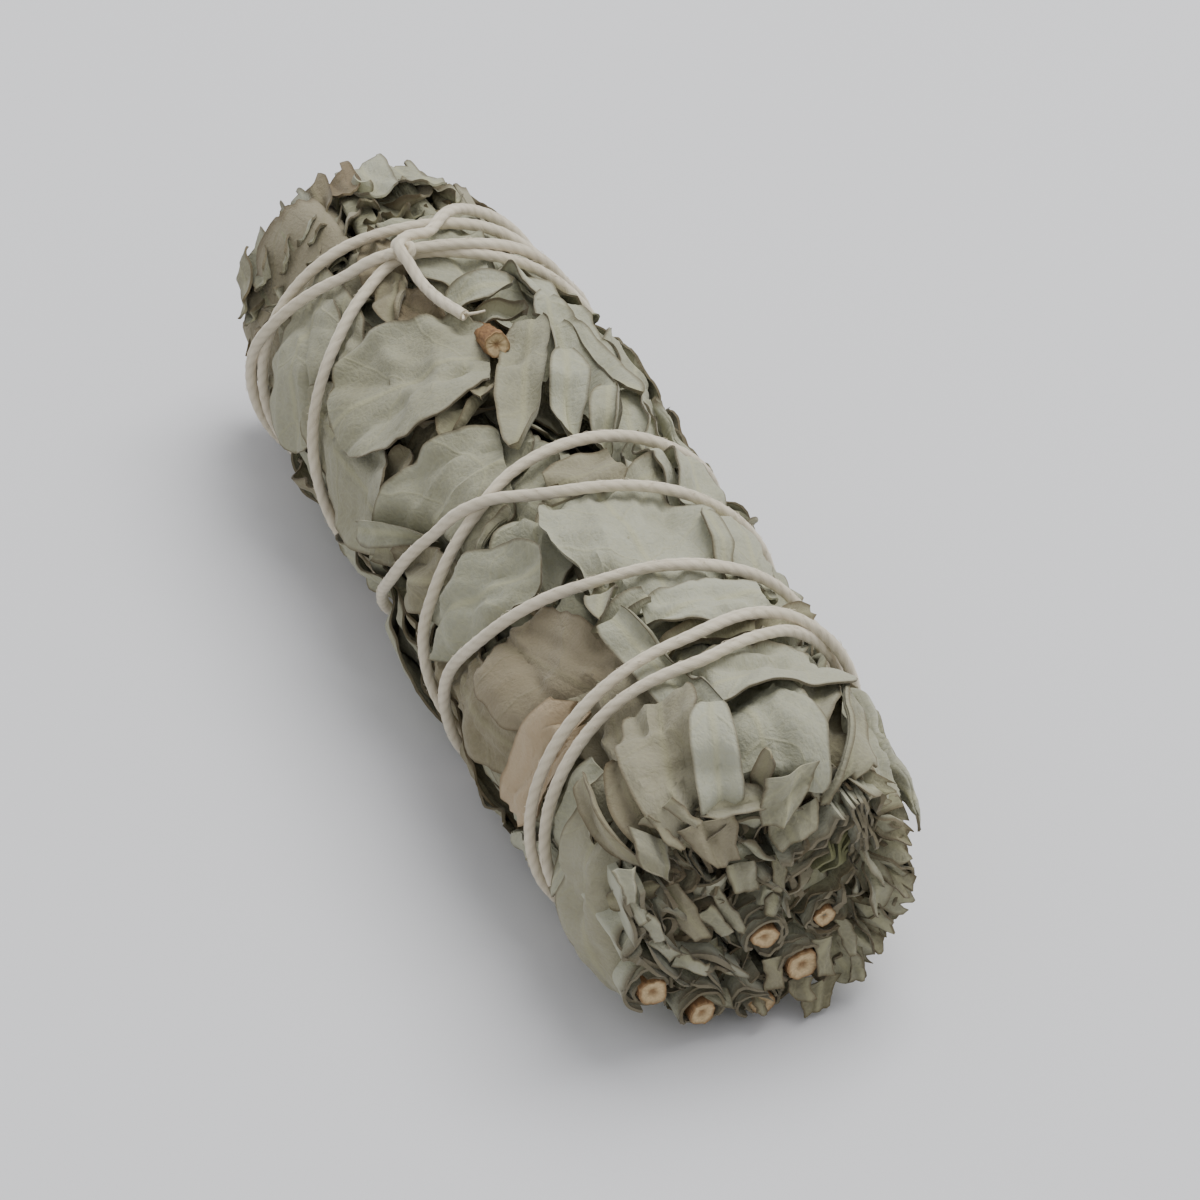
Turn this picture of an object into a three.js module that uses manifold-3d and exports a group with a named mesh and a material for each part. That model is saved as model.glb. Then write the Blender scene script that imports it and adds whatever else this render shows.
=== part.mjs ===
// Dried sage bunch, lying on its side: leafy sprigs laid along X, cut at both ends and
// wound with one cotton string. Millimetres, +Z up, the end with the cut stems at +X,
// origin at the middle of the underside of the whole bunch.
import * as THREE from 'three';
import { mergeVertices } from 'three/addons/utils/BufferGeometryUtils.js';
import Module from 'manifold-3d';

const wasm = await Module();
wasm.setup();

// Driving sizes
const RADIUS = 19;          // leaf surface at mid length
const AXIS_Z = 16.8;        // height of the long axis; the underside is pressed flat
const FACE_X = 57;          // both trimmed ends, before the crumpled edges stand out of them
const RIM = 5;              // rounding of the rim that the outer leaves bend over
const CORE_DROP = 2.1;      // packed middle lies this far below the leaf surface
const CORE_X = 53.5;        // half length of the packed middle
const LEAF_THICK = 0.7;
const LAYER_STEP = 0.85;    // each leaf layer lies this much above the one below
const STRING_R = 0.8;
const STRING_SIDES = 6;
const STRING_STEP = 8.2;      // length of one straight piece of the string
const CLEAR = 0.3;          // gap between separate pieces
const STEM_R = 1.65;
const STEM_SIDES = 8;
const HUB = [-0.5, -4.0];   // y and z of the middle sprig, from the long axis
const HUB_R = 4.3;

const rad = (deg) => (deg * Math.PI) / 180;
const clamp = (v, a, b) => Math.min(b, Math.max(a, v));
const smooth = (v) => {
  const t = clamp(v, 0, 1);
  return t * t * (3 - 2 * t);
};

// Seeded random numbers, so that every run gives the same bunch.
function random(seed) {
  let a = seed >>> 0;
  return () => {
    a = (a + 0x6d2b79f5) >>> 0;
    let t = a;
    t = Math.imul(t ^ (t >>> 15), t | 1);
    t ^= t + Math.imul(t ^ (t >>> 7), t | 61);
    return ((t ^ (t >>> 14)) >>> 0) / 4294967296;
  };
}

// Solid from points and triangles; turned right side out when needed.
function solid(points, faces) {
  const verts = new Float32Array(points.length * 3);
  points.forEach((p, i) => verts.set(p, i * 3));
  let sixth = 0;
  for (const [a, b, c] of faces) {
    const [p, q, r] = [points[a], points[b], points[c]];
    sixth += p[0] * (q[1] * r[2] - q[2] * r[1])
      - p[1] * (q[0] * r[2] - q[2] * r[0])
      + p[2] * (q[0] * r[1] - q[1] * r[0]);
  }
  const order = sixth < 0 ? faces.map(([a, b, c]) => [a, c, b]) : faces;
  const tris = new Uint32Array(order.length * 3);
  order.forEach((f, i) => tris.set(f, i * 3));
  return new wasm.Manifold(new wasm.Mesh({ numProp: 3, vertProperties: verts, triVerts: tris }));
}

// Solid through equal rings of points, closed with a fan at each end. Sides listed in
// crossed are split along their other diagonal, to match the side of a neighbour.
function loft(rings, crossed = []) {
  const n = rings[0].length;
  const faces = [];
  for (let k = 0; k + 1 < rings.length; k += 1) {
    for (let i = 0; i < n; i += 1) {
      const j = (i + 1) % n;
      const [a, b, c, d] = [k * n + i, k * n + j, (k + 1) * n + j, (k + 1) * n + i];
      if (crossed.includes(i)) faces.push([a, b, d], [b, c, d]);
      else faces.push([a, b, c], [a, c, d]);
    }
  }
  const last = (rings.length - 1) * n;
  for (let i = 1; i + 1 < n; i += 1) {
    faces.push([0, i + 1, i], [last, last + i, last + i + 1]);
  }
  return solid(rings.flat(), faces);
}

// Middle of the bunch and its radius at a place along the length: it narrows to both
// ends, more on the +Y side.
function section(x) {
  const far = smooth((-20 - x) / 38);
  const near = smooth((x - 36) / 24);
  return {
    y: -1.2 * far - 1.1 * near,
    r: RADIUS - 1.5 * far - 1.1 * near + 0.25 * Math.sin(x / 9),
  };
}

// Outline of the bunch along its length: s is measured on the surface, along the side,
// round the rim and in over the trimmed end.
function outline(s) {
  const side = Math.sign(s) || 1;
  const reach = Math.abs(s);
  const start = FACE_X - RIM;
  if (reach <= start) {
    const { y, r } = section(s);
    return { x: s, y, r, nx: 0, nr: 1 };
  }
  const turn = Math.min((reach - start) / RIM, Math.PI / 2);
  const inward = Math.max(0, reach - start - (RIM * Math.PI) / 2);
  const { y, r } = section(side * start);
  return {
    x: side * (start + RIM * Math.sin(turn)),
    y,
    r: r - RIM * (1 - Math.cos(turn)) - inward,
    nx: side * Math.sin(turn),
    nr: Math.cos(turn),
  };
}

// Underside pressed towards the surface it lies on.
const pressed = (z) => (z > 4 ? z : 4 - (4 - z) * 0.75);

// Point at surface distance s, angle f (degrees from the top towards +Y), height h.
function place(s, f, h) {
  const o = outline(s);
  const r = Math.max(0.4, o.r + h * o.nr);
  const a = rad(f);
  return [o.x + h * o.nx, o.y + r * Math.sin(a), pressed(AXIS_Z + r * Math.cos(a))];
}

const mm = (deg) => rad(deg) * RADIUS;
const deg = (len) => (len / RADIUS) * (180 / Math.PI);

// Route of the string, as x and turned angle: from a tucked end over the knot, along the
// left side, round the near end in two close turns, back to the far end, over the knot
// again and out as a short tail.
const ROUTE = [
  [-36, 62], [-37.5, 38], [-38.5, 14], [-41, -13],
  [-38.5, -32], [-35.5, -50], [-33.5, -65], [-31.5, -82],
  [-25, -130], [-15.5, -200], [-4, -270], [0.9, -318],
  [1.0, -340], [1.3, -360], [2.5, -385], [4.5, -402], [6.3, -430], [6.3, -448],
  [10, -500], [21.5, -560], [33, -640], [37, -685],
  [39, -698], [41, -712], [42.5, -725], [42.3, -755], [42.8, -795], [42.4, -830],
  [40, -930], [35.8, -1040],
  [36.5, -1062], [38.5, -1080], [39.5, -1100], [40.2, -1120], [40.4, -1160], [40.2, -1190],
  [34.5, -1290], [27, -1385],
  [26.8, -1420], [26.1, -1440], [25, -1460], [23, -1475], [19, -1502], [14, -1528],
  [11.0, -1560], [10.2, -1640], [13, -1752],
  [12, -1780], [9.5, -1812], [6.5, -1828], [1.5, -1855], [-4.5, -1885], [-10, -1905],
  [-27, -1985], [-42, -2080], [-46, -2120],
  [-46.5, -2160], [-48.2, -2190], [-49, -2220], [-49, -2250],
  [-47, -2330], [-42, -2440], [-39.5, -2490],
  [-39.5, -2515], [-41.5, -2540], [-44.5, -2562], [-47, -2583], [-50.2, -2606],
  [-51, -2700], [-52, -2800], [-51, -2850],
  [-47.5, -2868], [-43.5, -2880], [-41, -2893],
  [-37, -2893.5], [-31, -2892], [-26.5, -2888],
];

// Points along the route at equal steps.
function alongRoute(step) {
  const curve = new THREE.CatmullRomCurve3(
    ROUTE.map(([x, f]) => new THREE.Vector3(x, mm(f), 0)), false, 'centripetal',
  );
  curve.arcLengthDivisions = 4000;
  const count = Math.round(curve.getLength() / step);
  const out = [];
  for (let i = 0; i <= count; i += 1) {
    const p = curve.getPointAt(i / count);
    out.push({ s: p.x, f: deg(p.y), t: curve.getTangentAt(i / count) });
  }
  return out;
}

const turned = (f) => ((f % 360) + 540) % 360 - 180;

// Distance on the unrolled surface between two places.
function apart(s1, f1, s2, f2) {
  return Math.hypot(s1 - s2, mm(turned(f1 - f2)));
}

const stringPoints = alongRoute(STRING_STEP);
const finePoints = alongRoute(1.5);

// Each turn of the string climbs over the turns that were wound before it.
function liftOver(points, step) {
  const lifts = [];
  const skip = Math.ceil(30 / step);
  points.forEach((p, i) => {
    let lift = 0;
    for (let j = 0; j < i - skip; j += 1) {
      const gap = apart(p.s, p.f, points[j].s, points[j].f);
      if (gap < 6) {
        lift = Math.max(lift, (lifts[j] + 1.25) * (1 - smooth((gap - 1.2) / 4.6)));
      }
    }
    lifts.push(Math.min(lift, 3));
  });
  return lifts;
}

const fineLifts = liftOver(finePoints, 1.5);

function liftAt(index, count) {
  const at = (index / (count - 1)) * (finePoints.length - 1);
  return fineLifts[Math.round(at)];
}

// Round string through the route; split at every turn, since a turn never crosses
// itself, and joined again into one body that is fused where turns cross.
function stringSolid(radius, belly, lifted, sides = STRING_SIDES) {
  const rings = stringPoints.map((p, i) => {
    const lift = lifted ? liftAt(i, stringPoints.length) : 0;
    const h = 0.35 + lift;
    const centre = new THREE.Vector3(...place(p.s, p.f, h));
    centre.z = Math.max(centre.z, 1.05);
    return centre;
  });
  const out = [];
  rings.forEach((c, i) => {
    const before = rings[Math.max(0, i - 1)];
    const after = rings[Math.min(rings.length - 1, i + 1)];
    const along = after.clone().sub(before).normalize();
    const a = rad(stringPoints[i].f);
    const up = new THREE.Vector3(0, Math.sin(a), Math.cos(a));
    up.addScaledVector(along, -up.dot(along)).normalize();
    const sideways = along.clone().cross(up);
    const low = clamp((-Math.cos(a) - 0.55) / 0.3, 0, 1);
    const r = radius + belly * low;
    const ring = [];
    for (let k = 0; k < sides; k += 1) {
      const w = (2 * Math.PI * (k + 0.5)) / sides;
      const q = c.clone().addScaledVector(up, r * Math.cos(w));
      q.addScaledVector(sideways, r * Math.sin(w));
      ring.push([q.x, q.y, q.z]);
    }
    out.push(ring);
  });
  const perTurn = Math.floor(mm(300) / STRING_STEP);
  let whole = null;
  for (let i = 0; i + 1 < out.length; i += perTurn) {
    const part = loft(out.slice(i, Math.min(out.length, i + perTurn + 1)));
    whole = whole ? whole.add(part) : part;
  }
  return whole;
}

// Small hard knot where the turns meet at the far end.
function knotSolid(r, grow) {
  const ball = new THREE.IcosahedronGeometry(r + grow, 1);
  ball.scale(1.0, 1.25, 0.8);
  const a = rad(-13);
  ball.rotateX(-a);
  const c = place(-41, -13, 2.0);
  ball.translate(c[0], c[1], c[2]);
  return fromGeometry(ball);
}

function fromGeometry(geometry) {
  const plain = geometry.clone();
  plain.deleteAttribute('normal');
  plain.deleteAttribute('uv');
  const merged = mergeVertices(plain, 1e-4);
  const pos = merged.attributes.position;
  const points = [];
  for (let i = 0; i < pos.count; i += 1) {
    points.push([pos.getX(i), pos.getY(i), pos.getZ(i)]);
  }
  const faces = [];
  for (let i = 0; i < merged.index.count; i += 3) {
    faces.push([merged.index.getX(i), merged.index.getX(i + 1), merged.index.getX(i + 2)]);
  }
  return solid(points, faces);
}

// Seams between the outer sprigs, as angle along the length.
const SEAMS = {
  upper: [
    [-70, -22], [-37, -20], [-31, -8], [-20, -7], [-13, -24], [0, -27],
    [15, -30], [29, -32], [44, -24], [58, -31], [70, -31],
  ],
  left: [[-70, -100], [-45, -106], [-20, -102], [5, -107], [30, -102], [50, -106], [70, -104]],
  underLeft: [[-70, -131], [-30, -136], [10, -130], [40, -134], [70, -131]],
  underRight: [[-70, -203], [-35, -197], [0, -203], [35, -198], [70, -201]],
  right: [[-70, -240], [-30, -246], [10, -238], [45, -244], [70, -242]],
  upperRight: [[-70, -290], [-35, -295], [5, -287], [35, -294], [70, -292]],
  top: [[-70, 20], [-40, 26], [-10, 18], [20, 26], [50, 20], [70, 24]],
};
const SEAM_STATIONS = [-70, -52, -41, -31, -20, -13, 0, 15, 29, 44, 58, 70];

function seamAt(name, x) {
  const line = SEAMS[name];
  let k = 0;
  while (k + 2 < line.length && x > line[k + 1][0]) k += 1;
  const [a, b] = [line[k], line[k + 1]];
  const t = clamp((x - a[0]) / (b[0] - a[0]), 0, 1);
  return a[1] + (b[1] - a[1]) * smooth(t);
}

// Space that belongs to one outer sprig: between two seams, outside the middle sprig.
function territory(first, second, firstTurn, secondTurn) {
  const half = CLEAR * 0.58;
  const rings = SEAM_STATIONS.map((x) => {
    const o = section(clamp(x, -60, 60));
    const corner = (f, sign, out) => {
      const a = rad(f);
      const base = [HUB[0] + HUB_R * Math.sin(a), HUB[1] + HUB_R * Math.cos(a)];
      const tip = [o.y + 27 * Math.sin(a), 27 * Math.cos(a)];
      const way = [tip[0] - base[0], tip[1] - base[1]];
      const len = Math.hypot(...way);
      const unit = [way[0] / len, way[1] / len];
      const across = [unit[1] * sign * half, -unit[0] * sign * half];
      const p = out ? tip : [base[0] + unit[0] * half, base[1] + unit[1] * half];
      return [x, p[0] + across[0], p[1] + across[1] + AXIS_Z];
    };
    const a = seamAt(first, x) + firstTurn;
    const b = seamAt(second, x) + secondTurn;
    const wide = 31 / Math.cos(rad((b - a) / 4));
    const bow = rad((a + b) / 2);
    return [
      corner(a, 1, false), corner(a, 1, true),
      [x, o.y + wide * Math.sin(bow), wide * Math.cos(bow) + AXIS_Z],
      corner(b, -1, true), corner(b, -1, false),
    ];
  });
  return loft(rings, [3, 4]);
}

// Space of the middle sprig, a corner at each seam.
function hubTerritory() {
  const names = [
    ['left', 0], ['upper', 0], ['top', 0], ['upperRight', 360], ['right', 360],
    ['underRight', 360], ['underLeft', 360],
  ];
  const rings = SEAM_STATIONS.map((x) => names.map(([name, turn]) => {
    const a = rad(seamAt(name, x) + turn);
    const r = HUB_R - CLEAR * 0.58;
    return [x, HUB[0] + r * Math.sin(a), HUB[1] + r * Math.cos(a) + AXIS_Z];
  }));
  return loft(rings);
}

// Packed middle of the whole bunch; each sprig takes its own share.
function coreSolid() {
  const rings = [-CORE_X, -42, -22, 38, CORE_X].map((x) => {
    const o = section(x);
    const r = o.r - CORE_DROP - (Math.abs(x) > 50 ? 1.6 : 0);
    const ring = [];
    for (let k = 0; k < 24; k += 1) {
      const a = (2 * Math.PI * (k + 0.37)) / 24;
      ring.push([x, o.y + r * Math.sin(a), pressed(AXIS_Z + r * Math.cos(a))]);
    }
    return ring;
  });
  return loft(rings);
}

// How far the leaves are drawn in by the string at a place on the surface.
function pinch(s, f) {
  let gap = 99;
  for (const p of finePoints) gap = Math.min(gap, apart(s, f, p.s, p.f));
  return 0.95 * (1 - smooth(gap / 5));
}

// Rows of a leaf from base to tip, and its width there; a short leaf has one row less.
const LONG_LEAF = [[0, 0.3], [0.2, 0.85], [0.5, 1], [0.82, 0.66], [1, 0.09]];
const SHORT_LEAF = [[0, 0.4], [0.36, 1], [0.76, 0.75], [1, 0.1]];

// One leaf: laid on the surface along direction a, its edges standing out of the packed
// middle, its middle vein keyed into it, its tip lifted.
function leafSolid(leaf, grow = 0, above = 0) {
  const { s, f, a, L, W, lay = 1, lift = 0.8, curl = 0.45, seed = 1, keel = true } = leaf;
  const rnd = random(seed * 7919 + 13);
  const columns = W > 19 ? [-1, -0.5, 0, 0.5, 1] : [-1, 0, 1];
  const c = Math.cos(rad(a));
  const d = Math.sin(rad(a));
  const topGrid = [];
  const lowGrid = [];
  (L < 27.5 ? SHORT_LEAF : LONG_LEAF).forEach(([u, width]) => {
    const edge = (W / 2) * width;
    const waveA = (rnd() - 0.5) * 0.7;
    const waveB = (rnd() - 0.5) * 0.7;
    const bulge = [(rnd() - 0.5) * 0.1, (rnd() - 0.5) * 0.1];
    const topRow = [];
    const lowRow = [];
    columns.forEach((v) => {
      const reach = (u - 0.5) * (L + 2 * grow);
      const cross = v * (edge + grow + Math.abs(v) * edge * bulge[v < 0 ? 0 : 1]);
      const ss = s + reach * c - cross * d;
      const ff = f + deg(reach * d + cross * c);
      const sink = u < 0.1 ? 1.4 : 0;
      const wave = v < 0 ? waveA * Math.abs(v) : waveB * Math.abs(v);
      const h = -1.6 + LAYER_STEP * lay + wave - sink + lift * u * u
        + curl * Math.abs(v) - (keel || above ? pinch(ss, ff) : 0);
      const keyed = keel && (v === 0 || lay < 0.9);
      const low = keyed ? Math.min(h - LEAF_THICK, -CORE_DROP - 0.8)
        : h - LEAF_THICK - (keel && Math.abs(v) < 0.9 ? 0.45 : 0);
      topRow.push(place(ss, ff, h + above));
      lowRow.push(place(ss, ff, low - (grow ? CLEAR + 0.05 : 0)));
    });
    topGrid.push(topRow);
    lowGrid.push(lowRow);
  });
  return sheet(topGrid, lowGrid);
}

// Closed solid between two equal grids of points.
function sheet(topGrid, lowGrid) {
  const rows = topGrid.length;
  const cols = topGrid[0].length;
  const half = rows * cols;
  const points = [...topGrid.flat(), ...lowGrid.flat()];
  const faces = [];
  for (let i = 0; i + 1 < rows; i += 1) {
    for (let j = 0; j + 1 < cols; j += 1) {
      const [p, q, r, t] = [i * cols + j, i * cols + j + 1, (i + 1) * cols + j + 1, (i + 1) * cols + j];
      faces.push([p, q, r], [p, r, t], [half + p, half + r, half + q], [half + p, half + t, half + r]);
    }
  }
  const border = [];
  for (let j = 0; j < cols - 1; j += 1) border.push(j);
  for (let i = 0; i < rows - 1; i += 1) border.push(i * cols + cols - 1);
  for (let j = cols - 1; j > 0; j -= 1) border.push((rows - 1) * cols + j);
  for (let i = rows - 1; i > 0; i -= 1) border.push(i * cols);
  border.forEach((p, k) => {
    const q = border[(k + 1) % border.length];
    faces.push([p, half + p, half + q], [p, half + q, q]);
  });
  return solid(points, faces);
}

// Crumpled edge of a folded leaf, standing out of a trimmed end: a waved strip at radius
// r from the axis between two angles, with a torn outer edge.
function ribbonSolid(end, r, from, to, rnd, reach) {
  const steps = clamp(Math.round((rad(to - from) * r) / 2.5), 3, 7);
  const grids = [[], []];
  const wave = 0.55 + rnd() * 0.4;
  const lean = (rnd() - 0.45) * 1.6;
  for (let i = 0; i <= steps; i += 1) {
    const a = rad(from + ((to - from) * i) / steps);
    const side = (i % 2 ? 1 : -1) * wave * (0.6 + 0.7 * rnd());
    const torn = (rnd() - 0.5) * 1.8;
    const o = section(end * 50);
    const at = (x, shift) => {
      const q = r + side + shift;
      return [end * x, o.y + q * Math.sin(a), AXIS_Z + q * Math.cos(a)];
    };
    const low = CORE_X - 2;
    const high = reach + torn;
    grids[0].push([at(low, LEAF_THICK / 2), at(high, LEAF_THICK / 2 + lean)]);
    grids[1].push([at(low, -LEAF_THICK / 2), at(high, -LEAF_THICK / 2 + lean)]);
  }
  return sheet(grids[0], grids[1]);
}

// Straight round rod from one point to another.
function rodSolid(p, q, r1, r2, sides, lead = 0) {
  const a = new THREE.Vector3(...p);
  const b = new THREE.Vector3(...q);
  const along = b.clone().sub(a).normalize();
  b.addScaledVector(along, lead);
  const up = new THREE.Vector3(0, 0, 1);
  up.addScaledVector(along, -up.dot(along)).normalize();
  const sideways = along.clone().cross(up);
  const ring = (c, r) => Array.from({ length: sides }, (_, k) => {
    const w = (2 * Math.PI * k) / sides;
    const t = c.clone().addScaledVector(up, r * Math.cos(w)).addScaledVector(sideways, r * Math.sin(w));
    return [t.x, t.y, t.z];
  });
  return loft([ring(a, r1), ring(b, r2)]);
}

// Stems: cut end, hidden end, radius at both. Points are from the long axis.
const at = (x, y, z) => [x, y, AXIS_Z + z];
const STEMS = {
  stem_1: { sprig: 'under_left', cut: at(60.6, -12.2, -7.9), in: at(-40, -12.4, -8.6), r: 1.6 },
  stem_2: { sprig: 'under', cut: at(60.9, -6.9, -12.0), in: at(-44, -6.2, -11.4), r: 1.5 },
  stem_3: { sprig: 'under', cut: at(60.0, -0.6, -13.0), in: at(-40, 0.6, -12.4), r: 1.45 },
  stem_4: { sprig: 'middle', cut: at(61.0, -0.8, -4.5), in: at(-46, -0.5, -4.0), r: 1.5 },
  stem_5: { sprig: 'under_right', cut: at(61.6, 4.2, -9.9), in: at(-42, 5.4, -10.4), r: 1.85 },
  stem_6: { sprig: 'right', cut: at(60.2, 7.2, -4.0), in: at(-38, 8.0, -4.6), r: 1.25 },
  stem_7: { sprig: 'top', cut: at(-61.4, -0.6, 9.8), in: at(38, 2.6, 9.0), r: 1.5 },
  stem_8: { sprig: 'left', cut: at(-60.6, -8.6, 5.6), in: at(36, -9.6, 4.2), r: 1.45 },
};

function stemSolid(stem) {
  const rod = rodSolid(stem.in, stem.cut, stem.r * 0.75, stem.r, STEM_SIDES);
  const a = new THREE.Vector3(...stem.in);
  const b = new THREE.Vector3(...stem.cut);
  const back = a.sub(b).normalize().multiplyScalar(1.1).add(b);
  const pith = rodSolid([back.x, back.y, back.z], stem.cut, stem.r * 0.3, stem.r * 0.42, 6, 1);
  return rod.subtract(pith);
}

function stemChannel(stem) {
  const a = new THREE.Vector3(...stem.in);
  const b = new THREE.Vector3(...stem.cut);
  const along = b.clone().sub(a).normalize();
  a.addScaledVector(along, -1.2);
  const gap = CLEAR + 0.05;
  return rodSolid([a.x, a.y, a.z], stem.cut, stem.r * 0.75 + gap, stem.r + gap, STEM_SIDES, 12);
}

// Side twig whose cut end shows between the leaves near the far end.
const TWIG = { cut: place(-18.5, -4, 0.3), in: place(-36, 4, -3.4), r: 1.35 };

// Leaves that are placed by eye on the side that faces up and left, in mm and degrees.
const LEAVES = {
  top: [
    { s: -5.5, f: -7, a: -25, L: 27, W: 6.5, lay: 2, seed: 24 },
    { s: -11, f: 7, a: -6, L: 16, W: 7, lay: 1, lift: 0.6, seed: 25 },
    { s: 20, f: 3, a: 62, L: 30, W: 17, lay: 1, seed: 26 },
    { s: 31.5, f: 11, a: -76, L: 25, W: 9, lay: 2, lift: 0.5, seed: 27 },
    { s: 45, f: 15, a: 97, L: 26, W: 12.5, lay: 2, curl: 0.5, seed: 28 },
    { s: 42, f: -19, a: 8, L: 27, W: 7, lay: 2, seed: 29 },
    { s: 57, f: -8, a: -18, L: 30, W: 14, lay: 2, lift: 0.4, seed: 30 },
    { s: -46, f: 2, a: 186, L: 32, W: 14, lay: 1, seed: 31 },
  ],
  left: [
    { s: -24, f: -42, a: 94, L: 34, W: 22, lay: 2, seed: 44 },
    { s: -47, f: -66, a: 187, L: 32, W: 15, lay: 1, lift: 0.4, seed: 45 },
    { s: -5, f: -52, a: 104, L: 26, W: 15, lay: 1, seed: 46 },
    { s: 14, f: -57, a: 68, L: 22, W: 11.5, lay: 2, lift: 0.5, seed: 47 },
    { s: 29, f: -51, a: 10, L: 28, W: 14, lay: 1, seed: 48 },
    { s: 24, f: -85, a: 4, L: 32, W: 11, lay: 2, seed: 49 },
    { s: 46, f: -80, a: 90, L: 26, W: 7, lay: 2, seed: 50 },
    { s: 57, f: -76, a: 2, L: 30, W: 16, lay: 1, seed: 51 },
    { s: 55, f: -34, a: -12, L: 25, W: 11, lay: 2, curl: 0.4, seed: 52 },
  ],
};
const TAN_LEAF = { s: 35.8, f: -67, a: 98, L: 21, W: 7, lay: 2.2, seed: 61, keel: false };

// Leaves of the sides that don't face the eye follow a rule: rows along the length, tips
// towards the nearer end, the upper layer shifted by half a row.
function rowsOfLeaves(centre, wide, seed, layers, rows) {
  const rnd = random(seed);
  const out = [];
  for (let lay = 0; lay < layers; lay += 1) {
    const places = rows === 2 ? [[-28, 30], [-44, 4, 46]][lay % 2] : [[-32, 6, 44], [-46, -14, 24]][lay % 2];
    places.forEach((s, k) => {
      out.push({
        s: s + (rnd() - 0.5) * 8,
        f: centre + (rnd() - 0.5) * wide * 0.45,
        a: (s < 0 ? 180 : 0) + (rnd() - 0.5) * 44,
        L: 33 + rnd() * 9,
        W: 11 + rnd() * 4.5,
        lay,
        lift: 0.4 + rnd() * 1.2,
        curl: 0.2 + rnd() * 0.5,
        seed: seed * 10 + lay * 4 + k,
      });
    });
  }
  return out;
}

LEAVES.upper_right = rowsOfLeaves(45, 42, 71, 2, 3);
LEAVES.right = rowsOfLeaves(93, 44, 72, 2, 3);
LEAVES.under_right = rowsOfLeaves(139, 36, 73, 2, 2);
LEAVES.under = rowsOfLeaves(190, 50, 74, 2, 2);
LEAVES.under_left = rowsOfLeaves(-121, 26, 75, 1, 3);
LEAVES.under.push({ s: -4, f: 180, a: 3, L: 27, W: 15.5, lay: 1.6, seed: 76 });

const SPRIGS = {
  top: ['upper', 'top', 0, 0],
  upper_right: ['top', 'upperRight', 0, 360],
  right: ['upperRight', 'right', 360, 360],
  under_right: ['right', 'underRight', 360, 360],
  under: ['underRight', 'underLeft', 360, 360],
  under_left: ['underLeft', 'left', 0, 0],
  left: ['left', 'upper', 0, 0],
};

// Order of the right-hand seams runs downwards, so the pair is put in rising order.
function sprigSpace(name) {
  const [p, q, tp, tq] = SPRIGS[name];
  const a = seamAt(p, 0) + tp;
  const b = seamAt(q, 0) + tq;
  return a < b ? territory(p, q, tp, tq) : territory(q, p, tq, tp);
}

const largest = (body) => {
  const parts = body.decompose().filter((p) => p.volume() > 0);
  parts.sort((m, n) => n.volume() - m.volume());
  return parts[0];
};

const underCut = fromGeometry(new THREE.BoxGeometry(200, 100, 20).translate(0, 0, -10));
// Square bed under the string, a gap wider than it on every side.
const groove = stringSolid((STRING_R + CLEAR * 0.85) * Math.SQRT2, 0.25, false, 4);
const knotRoom = knotSolid(1.7, CLEAR + 0.15);
const core = coreSolid();

function union(list) {
  return wasm.Manifold.union(list);
}

function sprigSolid(name, seed) {
  const rnd = random(seed);
  const leaves = LEAVES[name].map((leaf) => leafSolid(leaf));
  const [p, q, tp, tq] = SPRIGS[name];
  const a = Math.min(seamAt(p, 50) + tp, seamAt(q, 50) + tq);
  const b = Math.max(seamAt(p, 50) + tp, seamAt(q, 50) + tq);
  const ribbons = [];
  for (const end of [1, -1]) {
    for (let r = 6.2; r < (end > 0 ? 13 : 12); r += 2.9 + rnd() * 0.4) {
      const wide = b - a + 4;
      const cut = wide > 45 && r > 9 ? a + wide * (0.35 + 0.3 * rnd()) : b + 2;
      const tall = () => FACE_X + 1.2 + rnd() * 2.6 - (r > 11 ? 0.8 : 0);
      ribbons.push(ribbonSolid(end, r, a - 2, cut, rnd, tall()));
      if (cut < b) ribbons.push(ribbonSolid(end, r + 0.5, cut + 3, b + 2, rnd, tall()));
    }
  }
  let body = union([core, ...leaves, ...ribbons]).intersect(sprigSpace(name));
  const cuts = [groove, underCut];
  for (const stem of Object.values(STEMS)) {
    if (stem.sprig === name) cuts.push(stemChannel(stem));
  }
  if (name === 'top') {
    cuts.push(knotRoom, rodSolid(TWIG.in, TWIG.cut, TWIG.r + 0.35, TWIG.r + 0.35, 8, 1.5));
  }
  if (name === 'left') {
    cuts.push(leafSolid(TAN_LEAF, CLEAR + 0.1, 3));
  }
  if (name === 'right' || name === 'upper_right') cuts.push(tuftRoom());
  body = largest(body.subtract(union(cuts)));
  return largest(body.simplify(0.06));
}

function middleSolid() {
  const rnd = random(90);
  const ribbons = [];
  for (const end of [1, -1]) {
    const o = section(end * 50);
    for (const [r, from, to] of [[3.1, -150, 60], [3.1, 70, 200]]) {
      const strip = ribbonSolid(end, r, from, to, rnd, FACE_X + 2.6 + rnd() * 1.5);
      ribbons.push(strip.translate([0, HUB[0] - o.y, HUB[1]]));
    }
  }
  const body = union([core, ...ribbons]).intersect(hubTerritory());
  return largest(body.subtract(stemChannel(STEMS.stem_4)));
}

// Small tuft of greener young leaves in the end with the cut stems.
const TUFT = { y: 7.0, z: 3.6, turn: 24 };

function tuftFrame(points, x) {
  const c = Math.cos(rad(TUFT.turn));
  const d = Math.sin(rad(TUFT.turn));
  return points.map(([y, z]) => [x, TUFT.y + y * c + z * d, AXIS_Z + TUFT.z - y * d + z * c]);
}

function tuftRoom() {
  const outlinePoints = [[-2.5, -3.9], [2.5, -3.9], [2.5, 3.9], [-2.5, 3.9]];
  return loft([tuftFrame(outlinePoints, 45), tuftFrame(outlinePoints, 75)]);
}

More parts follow.
